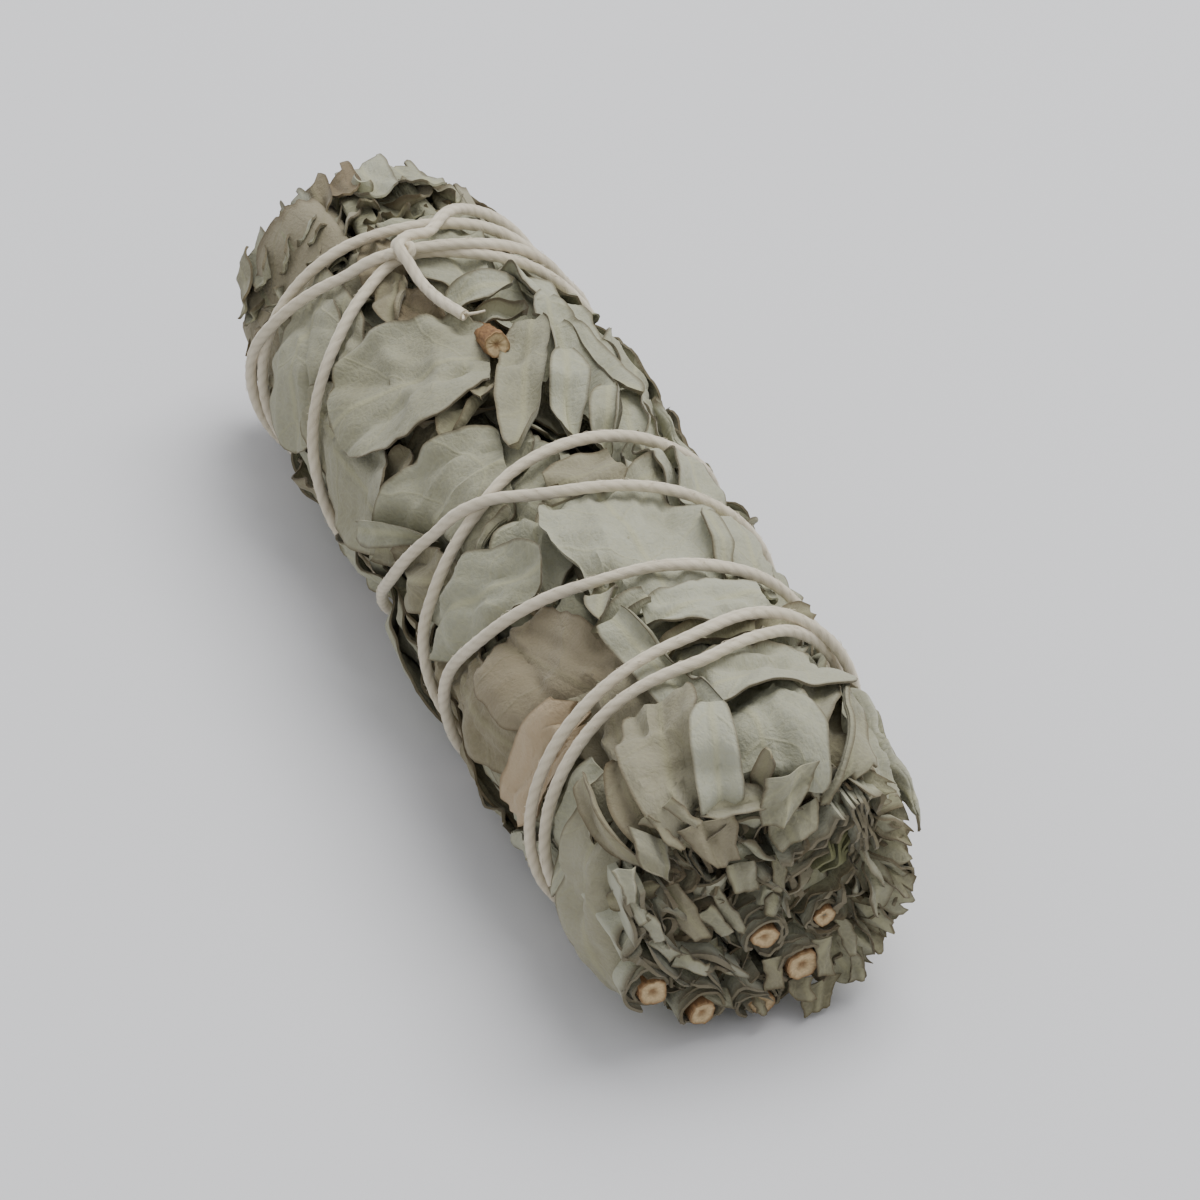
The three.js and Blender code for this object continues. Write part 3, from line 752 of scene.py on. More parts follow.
SAGE_FELT = FeltedLeaf(
    "felted_sage_leaf", pale="#acac99", deep="#78755c", warm="#84745c", vein="#b4b18e", rim="#5c4f39",
)
YOUNG_LEAF = FeltedLeaf(
    "young_green_leaf", pale="#8d9270", deep="#6c7350", warm="#7d7650", vein="#9da282", rim="#5f5c3c",
)
TAN_FELT = FeltedLeaf(
    "browned_sage_leaf", pale="#c2b092", deep="#ac987a", warm="#95826a", vein="#bdae94", rim="#7f6c50",
)

# String

FIBRE_SIDES = 5
FIBRE_SPOT = np.array([3.0, 1.0, 2.0])   # one place for all fibres, too thin to show a pattern
ASKEW = np.array([0.31, 0.52, 0.79])     # a direction that hardly any fibre runs along
FAR_AWAY = 99.0                          # more than any distance on the bunch


@dataclass
class StringWinding:
    """One cotton string, wound along the bunch and back, with its knot and tail."""

    node: str = "string"
    radius: float = 0.67
    clear: float = 0.3           # height of its middle over the bunch
    lowest: float = 0.9          # height of its middle where it passes underneath
    ply_turn: float = 5.2        # length in which the plies turn once
    step: float = 0.42
    route_step: float = 1.5      # spacing of the points at which turns are compared
    sides: int = 20
    fibres: int = 2600
    knot_at: tuple[float, float] = (-41.0, -13.0)
    knot_height: float = 1.35
    route: tuple[tuple[float, float], ...] = (
        (-36, 62), (-37.5, 38), (-38.5, 14), (-41, -13),
        (-38.5, -32), (-35.5, -50), (-33.5, -65), (-31.5, -82),
        (-25, -130), (-15.5, -200), (-4, -270), (0.9, -318),
        (1.0, -340), (1.3, -360), (2.5, -385), (4.5, -402), (6.3, -430), (6.3, -448),
        (10, -500), (21.5, -560), (33, -640), (37, -685),
        (39, -698), (41, -712), (42.5, -725), (42.3, -755), (42.8, -795), (42.4, -830),
        (40, -930), (35.8, -1040),
        (36.5, -1062), (38.5, -1080), (39.5, -1100), (40.2, -1120), (40.4, -1160), (40.2, -1190),
        (34.5, -1290), (27, -1385),
        (26.8, -1420), (26.1, -1440), (25, -1460), (23, -1475), (19, -1502), (14, -1528),
        (11.0, -1560), (10.2, -1640), (13, -1752),
        (12, -1780), (9.5, -1812), (6.5, -1828), (1.5, -1855), (-4.5, -1885), (-10, -1905),
        (-27, -1985), (-42, -2080), (-46, -2120),
        (-46.5, -2160), (-48.2, -2190), (-49, -2220), (-49, -2250),
        (-47, -2330), (-42, -2440), (-39.5, -2490),
        (-39.5, -2515), (-41.5, -2540), (-44.5, -2562), (-47, -2583), (-50.2, -2606),
        (-51, -2700), (-52, -2800), (-51, -2850),
        (-47.5, -2868), (-43.5, -2880), (-41, -2893),
        (-37, -2893.5), (-31, -2892), (-26.5, -2888),
    )
    path: Array = field(init=False)
    lifts: Array = field(init=False)

    def __post_init__(self) -> None:
        """Work out the points of the route and how each turn climbs over earlier ones."""
        self.path = self.along(self.route_step)
        self.lifts = self.climb(self.path, self.route_step)

    def along(self, step: float) -> Array:
        """Points (s, angle) at equal steps on a smooth curve through the route.

        Args:
            step: length of a step.

        Returns:
            Array (n, 2).
        """
        route = np.array(self.route, dtype=float)
        flat = np.stack([route[:, 0], FORM.mm(route[:, 1])], -1)
        curve = centripetal(flat, 60)
        run = run_length(curve)
        count = int(round(run[-1] / step))
        at = np.linspace(0.0, run[-1], count + 1)
        s = np.interp(at, run, curve[:, 0])
        return np.stack([s, FORM.degrees(np.interp(at, run, curve[:, 1]))], -1)

    @staticmethod
    def climb(path: Array, step: float) -> Array:
        """Height that each point is lifted by the turns wound before it.

        Args:
            path: points (s, angle).
            step: distance between them.

        Returns:
            The heights.
        """
        lifts = np.zeros(len(path))
        skip = math.ceil(30 / step)
        for i in range(skip, len(path)):
            earlier = path[:i - skip]
            gap = np.hypot(path[i, 0] - earlier[:, 0], FORM.mm(turned(path[i, 1] - earlier[:, 1])))
            close = gap < 6
            if close.any():
                rise = (lifts[:i - skip][close] + 1.05) * (1 - smooth((gap[close] - 1.1) / 4.0))
                lifts[i] = min(2.3, float(rise.max()))
        return lifts

    def distance(self, s: Array, f: Array) -> Array:
        """Distance on the surface from each place to the nearest turn of the string.

        Args:
            s: surface distances.
            f: angles, in an array of the same shape.

        Returns:
            The distances.
        """
        out = np.full(np.shape(s), FAR_AWAY)
        for ps, pf in self.path:
            out = np.minimum(out, np.hypot(s - ps, FORM.mm(turned(f - pf))))
        return out

    def centres(self) -> tuple[Array, Array]:
        """Middle of the string and the outward direction at each of its points.

        Returns:
            Two arrays (n, 3).
        """
        fine = self.along(self.step)
        at = np.linspace(0, len(self.path) - 1, len(fine))
        lift = np.interp(at, np.arange(len(self.path)), self.lifts)
        kernel = np.hanning(9) / np.hanning(9).sum()
        lift = np.convolve(np.pad(lift, 4, mode="edge"), kernel, mode="valid")
        centre = FORM.place(fine[:, 0], fine[:, 1], self.clear + lift)
        centre[:, 2] = np.maximum(centre[:, 2], self.lowest)
        a = np.radians(fine[:, 1])
        return centre, np.stack([np.zeros(len(a)), np.sin(a), np.cos(a)], -1)

    def yarn(self, shell: Shell, centre: Array, out: Array, radius: float, turn: float) -> None:
        """Add a three-ply yarn along the points.

        Args:
            shell: piece that it is added to.
            centre: points (n, 3) of its middle.
            out: outward directions (n, 3).
            radius: its outer radius.
            turn: length in which the plies turn once.
        """
        along = unit(np.gradient(centre, axis=0))
        up = unit(out - (out * along).sum(1)[:, None] * along)
        aside = np.cross(along, up)
        run = run_length(centre)
        w = 2 * np.pi * np.arange(self.sides) / self.sides
        rnd = np.random.RandomState(11)
        knots = np.arange(0, run[-1] + 6, 5.0)
        wander = np.interp(run, knots, rnd.uniform(-0.5, 0.5, len(knots)))
        lobe = np.abs(np.cos(1.5 * (w[None] - 2 * np.pi * run[:, None] / turn - 0.8 * wander[:, None])))
        thick = np.interp(run, knots, rnd.uniform(0.94, 1.06, len(knots)))
        r = radius * thick[:, None] * (0.92 + 0.09 * lobe ** 0.8)
        rings = centre[:, None] + r[..., None] * circles(up, aside, self.sides)
        spot = np.stack([
            np.broadcast_to(run[:, None], lobe.shape),
            radius * w[None] - 2 * np.pi * radius * run[:, None] / turn, np.zeros_like(lobe),
        ], -1)
        # the third look value paints shade into the grooves between the plies
        shell.add_loft(rings, spot, look_values(0.5, 0.0, 1 - lobe ** 0.6))

    def knot(self, shell: Shell) -> None:
        """Add the small hard knot where the turns meet.

        Args:
            shell: piece that it is added to.
        """
        t = np.linspace(0, 2 * np.pi, 90)
        flat = np.stack([np.sin(t) + 2 * np.sin(2 * t), np.cos(t) - 2 * np.cos(2 * t), -np.sin(3 * t)], -1)
        flat = flat * np.array([0.44, 0.56, 0.5])
        s, f = self.knot_at
        middle = FORM.place(s, f, self.knot_height)
        a = math.radians(f)
        axes = np.array([[1, 0, 0], [0, math.cos(a), -math.sin(a)], [0, math.sin(a), math.cos(a)]])
        centre = middle + flat @ axes
        out = np.broadcast_to(axes[2], centre.shape) + 0.4 * (centre - middle)
        self.yarn(shell, centre, out, self.radius * 0.82, self.ply_turn * 0.8)

    def strand(self, shell: Shell, points: Array, radius: float, shade: float) -> None:
        """Add one fibre or ply that gets thinner towards its end.

        Args:
            shell: piece that it is added to.
            points: its course (n, 3).
            radius: its radius where it leaves the yarn.
            shade: its nearness to a ply groove.
        """
        along = unit(np.gradient(points, axis=0))
        side = unit(np.cross(along, ASKEW))
        thin = radius * np.linspace(1.0, 0.5, len(points))[:, None, None]
        rings = points[:, None] + thin * circles(side, np.cross(along, side), FIBRE_SIDES)
        shell.add_loft(rings, FIBRE_SPOT, np.array([0.5, 0.0, shade]))

    def fuzz(self, shell: Shell, centre: Array, out: Array) -> None:
        """Add loose fibres that stand off the yarn, and the untwisted plies of its tail.

        Args:
            shell: piece that they are added to.
            centre: middle of the yarn.
            out: outward directions.
        """
        rnd = np.random.RandomState(77)
        along = unit(np.gradient(centre, axis=0))
        t = np.linspace(0, 1, 5)[:, None]
        for k in rnd.randint(2, len(centre) - 2, self.fibres):
            aside = np.cross(along[k], out[k])
            w = rnd.uniform(-1.7, 1.7)
            way = out[k] * math.cos(w) + aside * math.sin(w)
            start = centre[k] + way * self.radius * 0.9
            lean = along[k] * rnd.uniform(-1, 1) + np.cross(along[k], way) * rnd.uniform(-0.5, 0.5)
            reach = rnd.uniform(0.35, 0.9)
            points = start + t * lean * reach + (t * (1.2 - t)) * way * rnd.uniform(0.2, 0.8) * reach
            self.strand(shell, points, rnd.uniform(0.022, 0.034), 0.0)
        end, way, up = centre[-1], along[-1], out[-1]
        aside = np.cross(way, up)
        for bend, lift, reach in ((-0.9, 0.1, 2.2), (0.5, 0.15, 1.6), (-0.2, 0.4, 1.2)):
            points = end - way * 0.8 + t * way * reach + t ** 2 * (aside * bend + up * lift) * reach
            self.strand(shell, points, self.radius * 0.42, 0.2)

    def build(self, finish: bpy.types.Material) -> bpy.types.Object:
        """Make the string and dress it.

        Args:
            finish: material of the string.

        Returns:
            The piece.
        """
        shell = Shell()
        centre, out = self.centres()
        self.yarn(shell, centre, out, self.radius, self.ply_turn)
        self.knot(shell)
        self.fuzz(shell, centre, out)
        return dress(shell.to_object("string_yarn", finish, sharp=80), Slot.STRING, self.node)


def centripetal(points: Array, count: int) -> Array:
    """Smooth curve through points, with rounder bends where they lie close together.

    Args:
        points: array (n, 2).
        count: points to give between each pair.

    Returns:
        Points along the curve.
    """
    first = 2 * points[0] - points[1]
    last = 2 * points[-1] - points[-2]
    p = np.concatenate([[first], points, [last]])
    out = []
    for i in range(len(p) - 3):
        p0, p1, p2, p3 = p[i:i + 4]
        pairs = (p0, p1), (p1, p2), (p2, p3)
        d1, d2, d3 = (max(1e-4, float(np.linalg.norm(b - a))) ** 0.5 for a, b in pairs)
        m1 = (p1 - p0) / d1 - (p2 - p0) / (d1 + d2) + (p2 - p1) / d2
        m2 = (p2 - p1) / d2 - (p3 - p1) / (d2 + d3) + (p3 - p2) / d3
        m1, m2 = m1 * d2, m2 * d2
        t = np.linspace(0, 1, count, endpoint=False)[:, None]
        out.append(
            p1 + m1 * t + (-3 * p1 + 3 * p2 - 2 * m1 - m2) * t ** 2 + (2 * p1 - 2 * p2 + m1 + m2) * t ** 3
        )
    return np.concatenate([*out, points[-1:]])


# Leaves


def soft_row(at: Array, knots: float, rnd: Draws) -> Array:
    """Smooth seeded numbers from -1 to 1 at places from 0 to 1.

    Args:
        at: the places.
        knots: how many numbers are drawn.
        rnd: seeded draws.

    Returns:
        Numbers between the drawn ones, eased.
    """
    values = rnd.uniform(-1, 1, max(2, int(knots)) + 1)
    u = np.clip(at, 0, 1) * (len(values) - 1.001)
    k = np.floor(u).astype(int)
    return values[k] + (values[k + 1] - values[k]) * smooth(u - k)


@dataclass(frozen=True)
class Leaf:
    """One leaf laid on the bunch: its middle, direction and shape."""

    s: float                # place of its middle along the bunch
    f: float                # and round it, degrees from the top towards +Y
    a: float                # direction of its tip, degrees from +X towards +Y
    length: float
    breadth: float
    seed: int = 1
    lift: float = 0.5       # height of the tip over the pile
    curl: float = 0.3       # height of the edges
    bow: float = 0.0        # sideways bow of its middle vein
    wave: float = 0.25      # waves of its edges
    fold: float = 0.0       # share of the width folded over on the right side; negative for the left
    roll: float = 0.0       # turned-up margin, in degrees of turn
    roll_side: int = 1
    point: float = 0.7      # larger for a sharper tip
    base: float = 0.42      # larger for a narrower base
    ragged: float = 0.0     # torn tip
    tint: float = 0.5
    warm: float = 0.0
    step: float = 0.6
    thick: float = 0.28
    stiff: float = 1.5      # how far it bridges hollows


# The darker rim is partly the leaf's browned margin and partly painted shade of the gap under its edge.
RIM_MM = 0.8        # breadth of the darker rim of a leaf
TORN_RIM_MM = 0.9   # and of a torn piece


class Relief:
    """Height of the pile of leaves over the unrolled surface of the bunch."""

    STEP = 0.5
    FIRST = -80.0
    ROWS = 321
    COLS = 240

    def __init__(self, base: float) -> None:
        """Start with an even surface at the height base.

        Args:
            base: the height.
        """
        self.top = np.full((self.ROWS, self.COLS), base)
        self.s = self.FIRST + self.STEP * np.arange(self.ROWS)
        self.f = -180.0 + 360.0 / self.COLS * np.arange(self.COLS)
        rows = np.fft.fftfreq(self.ROWS)[:, None]
        cols = np.fft.rfftfreq(self.COLS)[None]
        self.waves = rows ** 2 + cols ** 2

    def cells(self, s: Array, f: Array) -> tuple[Array, ...]:
        """Cell numbers and the shares within the cell for each place.

        Args:
            s: surface distances.
            f: angles.

        Returns:
            Row, column, and the shares along both.
        """
        u = np.clip((s - self.FIRST) / self.STEP, 0, self.ROWS - 1.001)
        v = np.mod((f + 180.0) / 360.0, 1.0) * self.COLS
        i, j = np.floor(u).astype(int), np.floor(v).astype(int)
        return i, j % self.COLS, u - i, v - j

    def read(self, grid: Array, s: Array, f: Array) -> Array:
        """Value of a grid at each place, between its cells.

        Args:
            grid: array (ROWS, COLS).
            s: surface distances.
            f: angles.

        Returns:
            The values.
        """
        i, j, u, v = self.cells(s, f)
        k = (j + 1) % self.COLS
        return (grid[i, j] * (1 - u) * (1 - v) + grid[i + 1, j] * u * (1 - v)
                + grid[i, k] * (1 - u) * v + grid[i + 1, k] * u * v)

    def blurred(self, grid: Array, reach: float) -> Array:
        """Grid blurred over a reach in millimetres.

        Args:
            grid: array (ROWS, COLS).
            reach: the reach.

        Returns:
            A grid of the same shape.
        """
        sigma = reach / self.STEP
        return np.fft.irfft2(
            np.fft.rfft2(grid) * np.exp(-2 * np.pi ** 2 * sigma ** 2 * self.waves), s=grid.shape,
        )

    @staticmethod
    def widest(grid: Array, cells: int) -> Array:
        """Highest value within some cells of each cell.

        Args:
            grid: array (ROWS, COLS).
            cells: how far to look.

        Returns:
            A grid of the same shape.
        """
        out = grid
        for axis in (0, 1):
            best = out
            for k in range(1, cells + 1):
                best = np.maximum(best, np.maximum(np.roll(out, k, axis), np.roll(out, -k, axis)))
            out = best
        return out

    def raise_to(self, s: Array, f: Array, h: Array) -> None:
        """Lift the pile to at least the heights given.

        Args:
            s: surface distances.
            f: angles.
            h: heights.
        """
        i, j, _, _ = self.cells(s, f)
        for di in (0, 1):
            for dj in (0, 1):
                np.maximum.at(self.top, (np.minimum(i + di, self.ROWS - 1), (j + dj) % self.COLS), h)


def end_cut(s: Array, f: Array) -> Array:
    """Surface distance at which the leaves were trimmed, for the end that s is nearer to.

    Args:
        s: surface distances.
        f: angles.

    Returns:
        The distances.
    """
    side = np.where(s < 0, -1.0, 1.0)
    bend = FORM.bend(side, f)
    ripple = 0.8 * np.sin(np.radians(3 * f) + 1.3 * side) + 0.5 * np.sin(np.radians(7 * f) + 0.4)
    return np.where(side > 0, 57.6 + 7.4 * (bend - 0.14), 66.6) + ripple


@dataclass
class Laid:
    """A leaf after it was laid: places of its two faces and its surface values."""

    node: str
    leaf: Leaf
    s: Array
    f: Array
    h: Array
    spot: Array
    look: Array


class LeafPile:
    """Lays leaves one over another and sets them into the bunch's form."""

    DEPTH = 6.6
    PROUD = 1.3   # above this height over the form, leaves are pressed back

    def __init__(self) -> None:
        """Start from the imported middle."""
        self.relief = Relief(-self.DEPTH)
        self.laid: list[Laid] = []

    def lay(self, leaf: Leaf, node: str | None = None) -> None:
        """Lay a leaf on the pile.

        Args:
            leaf: the leaf.
            node: solid it belongs to, or None for the sprig at its place.
        """
        rnd = np.random.RandomState(leaf.seed)
        rows = max(7, int(leaf.length / leaf.step))
        cols = max(5, int(leaf.breadth / leaf.step) | 1)
        u = np.linspace(0.0, 1.0, rows)[:, None]
        t = np.linspace(-1.0, 1.0, cols)[None]
        v = np.sin(1.15 * t) / math.sin(1.15)
        along = self.trimmed(leaf, u, v, rnd)
        if along is None:
            return
        width = self.width(leaf, along)
        margins = [self.margin(along, leaf.length, rnd) for _ in (0, 1)]
        edge = np.maximum(0.04, 0.5 * leaf.breadth * width * np.where(v < 0, margins[0], margins[1]))
        cross = v * edge
        reach = (along - 0.5) * leaf.length
        cross, over = self.turned_margin(leaf, cross, edge)
        bow = leaf.bow * (4 * (along - 0.5) ** 2 - 0.33)
        a = math.radians(leaf.a)
        s = leaf.s + reach * math.cos(a) - (cross + bow) * math.sin(a)
        around = FORM.degrees(reach * math.sin(a) + (cross + bow) * math.cos(a))
        f = leaf.f + around * FORM.radius / np.maximum(7.0, FORM.girth(s, leaf.f + around))
        relief = self.relief
        bridged = relief.blurred(Relief.widest(relief.top, 2), leaf.stiff)
        raw = relief.read(relief.top, s, f)
        h = relief.read(bridged, s, f) + 0.16
        h = h + leaf.lift * along ** 2.2 + leaf.curl * np.abs(v) ** 2.2
        h = h + leaf.wave * np.abs(v) ** 2.5 * np.where(
            v < 0, np.sin(reach * (0.55 + 0.5 * rnd.rand()) + 6 * rnd.rand()),
            np.sin(reach * (0.55 + 0.5 * rnd.rand()) + 6 * rnd.rand()),
        )
        h = h + self.wrinkles(reach, cross, rnd) - 0.22 * np.exp(-(cross / 0.7) ** 2) * (1 - 0.5 * along)
        rnd.rand()  # one number is passed over, so that the later ones of the row stay
        ribs = np.sin(1.5 * (reach - 0.85 * np.abs(cross)) + 6 * rnd.rand())
        h = h + 0.07 * ribs * smooth(np.abs(cross) / 1.5)
        h = np.maximum(h, raw + 0.07) + over
        relief.raise_to(s, f, h + leaf.thick)
        spot = np.stack([reach + 40 * rnd.rand(), cross, np.full(np.shape(h), 9.0 * leaf.seed % 97)], -1)
        inset = np.minimum(edge * (1 - np.abs(v)), (np.max(along, axis=0)[None] - along) * leaf.length)
        look = look_values(leaf.tint, leaf.warm, np.clip(1 - inset / RIM_MM, 0, 1))
        self.laid.append(Laid(node or sprig_at(leaf.s, leaf.f), leaf, s, f, h, spot, look))

    @staticmethod
    def margin(along: Array, length: float, rnd: Draws) -> Array:
        """Uneven, finely scalloped margin as a factor of the width.

        Args:
            along: shares of the length.
            length: length of the leaf.
            rnd: seeded draws.

        Returns:
            A factor near 1 for each share.
        """
        out = np.ones_like(along)
        for spacing, size in ((4.5, 0.1), (1.5, 0.035)):
            knots = np.linspace(0, 1, max(4, int(length / spacing) + 2))
            out = out + np.interp(along, knots, rnd.uniform(-size, size, len(knots)))
        return out

    @staticmethod
    def width(leaf: Leaf, along: Array) -> Array:
        """Width of the blade, from 0 to 1, at shares of its length.

        Args:
            leaf: the leaf.
            along: shares of its length.

        Returns:
            The widths.
        """
        a, b = leaf.base, leaf.point
        peak = (a / (a + b)) ** a * (b / (a + b)) ** b
        inner = np.clip(along, 0.0, 1.0)
        return np.maximum(0.02, (inner + 0.015) ** a * (1.0 - inner) ** b / peak)

    @staticmethod
    def trimmed(leaf: Leaf, u: Array, v: Array, rnd: Draws) -> Array | None:
        """Shares of the length that are left after trimming, or None if nothing is.

        Args:
            leaf: the leaf.
            u: places along the grid, from 0 to 1.
            v: places across it, from -1 to 1.
            rnd: seeded draws.

        Returns:
            Grid of shares of the length, or None.
        """
        a = math.radians(leaf.a)
        jag = 1.2 * soft_row(0.5 * v[0] + 0.5, 7, rnd) + rnd.uniform(-0.8, 0.8)
        torn = leaf.ragged * np.abs(soft_row(0.5 * v[0] + 0.5, 9, rnd))
        fine = np.linspace(0, 1, 60)[:, None]
        reach = (fine - 0.5) * leaf.length
        cross = v * 0.4 * leaf.breadth
        s = leaf.s + reach * math.cos(a) - cross * math.sin(a)
        f = leaf.f + FORM.degrees(reach * math.sin(a) + cross * math.cos(a))
        inside = np.abs(s) < end_cut(s, f) + jag[None]
        kept = np.nonzero(inside.sum(0) > 3)[0]
        if len(kept) < 3:
            return None
        every = np.arange(v.shape[1])
        lo = np.interp(every, kept, [fine[np.nonzero(inside[:, j])[0][0], 0] for j in kept])
        hi = np.interp(every, kept, [fine[np.nonzero(inside[:, j])[0][-1], 0] for j in kept])
        hi = np.where(hi > 0.999, 1.0 - torn, hi)
        return lo[None] + (hi - lo)[None] * u

    @staticmethod
    def turned_margin(leaf: Leaf, cross: Array, edge: Array, bend: float = 0.75) -> tuple[Array, Array]:
        """Roll or fold one margin of the blade.

        Args:
            leaf: the leaf.
            cross: places across the blade.
            edge: half width at each of them.
            bend: radius of a rolled margin.

        Returns:
            The new places across, and the heights that the turned part gains.
        """
        if not leaf.roll and not leaf.fold:
            return cross, np.zeros_like(cross)
        side = leaf.roll_side if leaf.roll else (1 if leaf.fold > 0 else -1)
        c = cross * side
        if leaf.fold:
            start, radius, most = edge * (1 - 2 * abs(leaf.fold)), 0.35, math.pi
        else:
            radius, most = bend, math.radians(leaf.roll)
            start = edge - radius * most
        angle = np.clip((c - start) / radius, 0, most)
        flat = np.maximum(0, c - start - radius * most)
        moved = np.minimum(c, start) + radius * np.sin(angle) + flat * np.cos(angle)
        gain = radius * (1 - np.cos(angle)) + flat * np.sin(angle)
        return moved * side, gain

    @staticmethod
    def wrinkles(x: Array, y: Array, rnd: Draws) -> Array:
        """Dents, ripples and straight creases of a dried leaf, as heights.

        Args:
            x: places along the leaf.
            y: places across it.
            rnd: seeded draws.

        Returns:
            The heights.
        """
        out = 0.0
        for length in (11.0, 6.0, 3.6, 2.2):
            a = rnd.uniform(0, math.pi)
            out = out + 0.014 * length * np.sin(
                2 * math.pi * (x * math.cos(a) + y * math.sin(a)) / length + rnd.uniform(0, 6.3),
            )
        reach = float(np.max(np.abs(x))) + 1e-3
        broad = float(np.max(np.abs(y))) + 1e-3
        for k in range(4 + int(reach / 4)):
            a = rnd.uniform(0, 2 * math.pi) if k % 2 else math.pi / 2 + rnd.uniform(-0.4, 0.4)
            at = rnd.uniform(-0.8, 0.8) * (reach * abs(math.cos(a)) + broad * abs(math.sin(a)))
            off = x * math.cos(a) + y * math.sin(a) - at
            width = rnd.uniform(0.8, 2.2) if k % 2 else rnd.uniform(0.6, 1.5)
            steep = rnd.uniform(-0.5, 0.5) if k % 2 else rnd.choice((-1, 1)) * rnd.uniform(0.25, 0.8)
            out = out + steep * np.maximum(0.0, width - np.abs(off))
        return out

    def settle(self, string: StringWinding) -> None:
        """Press the pile into the bunch's form and draw it in under the string.

        Args:
            string: the string.
        """
        relief = self.relief
        s, f = relief.s[:, None], relief.f[None]
        gap = string.distance(*np.broadcast_arrays(s, f))
        smoothed = np.maximum(-2.5, relief.blurred(relief.top, 4.0))
        under = 0.35 + 0.5 * smooth((np.abs(turned(f)) - 120) / 40)
        local = relief.blurred(Relief.widest(relief.top, 1), 0.35)
        share = 1 - smooth((gap - 0.9) / 3.4)
        even = 0.2 + 0.45 * smooth((gap - 3.0) / 6.0) - smoothed
        shift = even * (1 - share) + np.minimum(-under - local, even) * share
        for item in self.laid:
            h = item.h + relief.read(shift, item.s, item.f)
            item.h = np.where(h > self.PROUD, self.PROUD + 0.45 * (h - self.PROUD), h)

    def add_to(self, shells: Shells) -> None:
        """Turn each laid leaf into a closed sheet in its sprig's piece.

        Args:
            shells: the pieces of the sprigs.
        """
        for item in self.laid:
            top = FORM.place(item.s, item.f, item.h + item.leaf.thick)
            low = FORM.place(item.s, item.f, item.h)
            shells.setdefault(item.node, Shell()).add_sheet(top, low, item.spot, item.look)


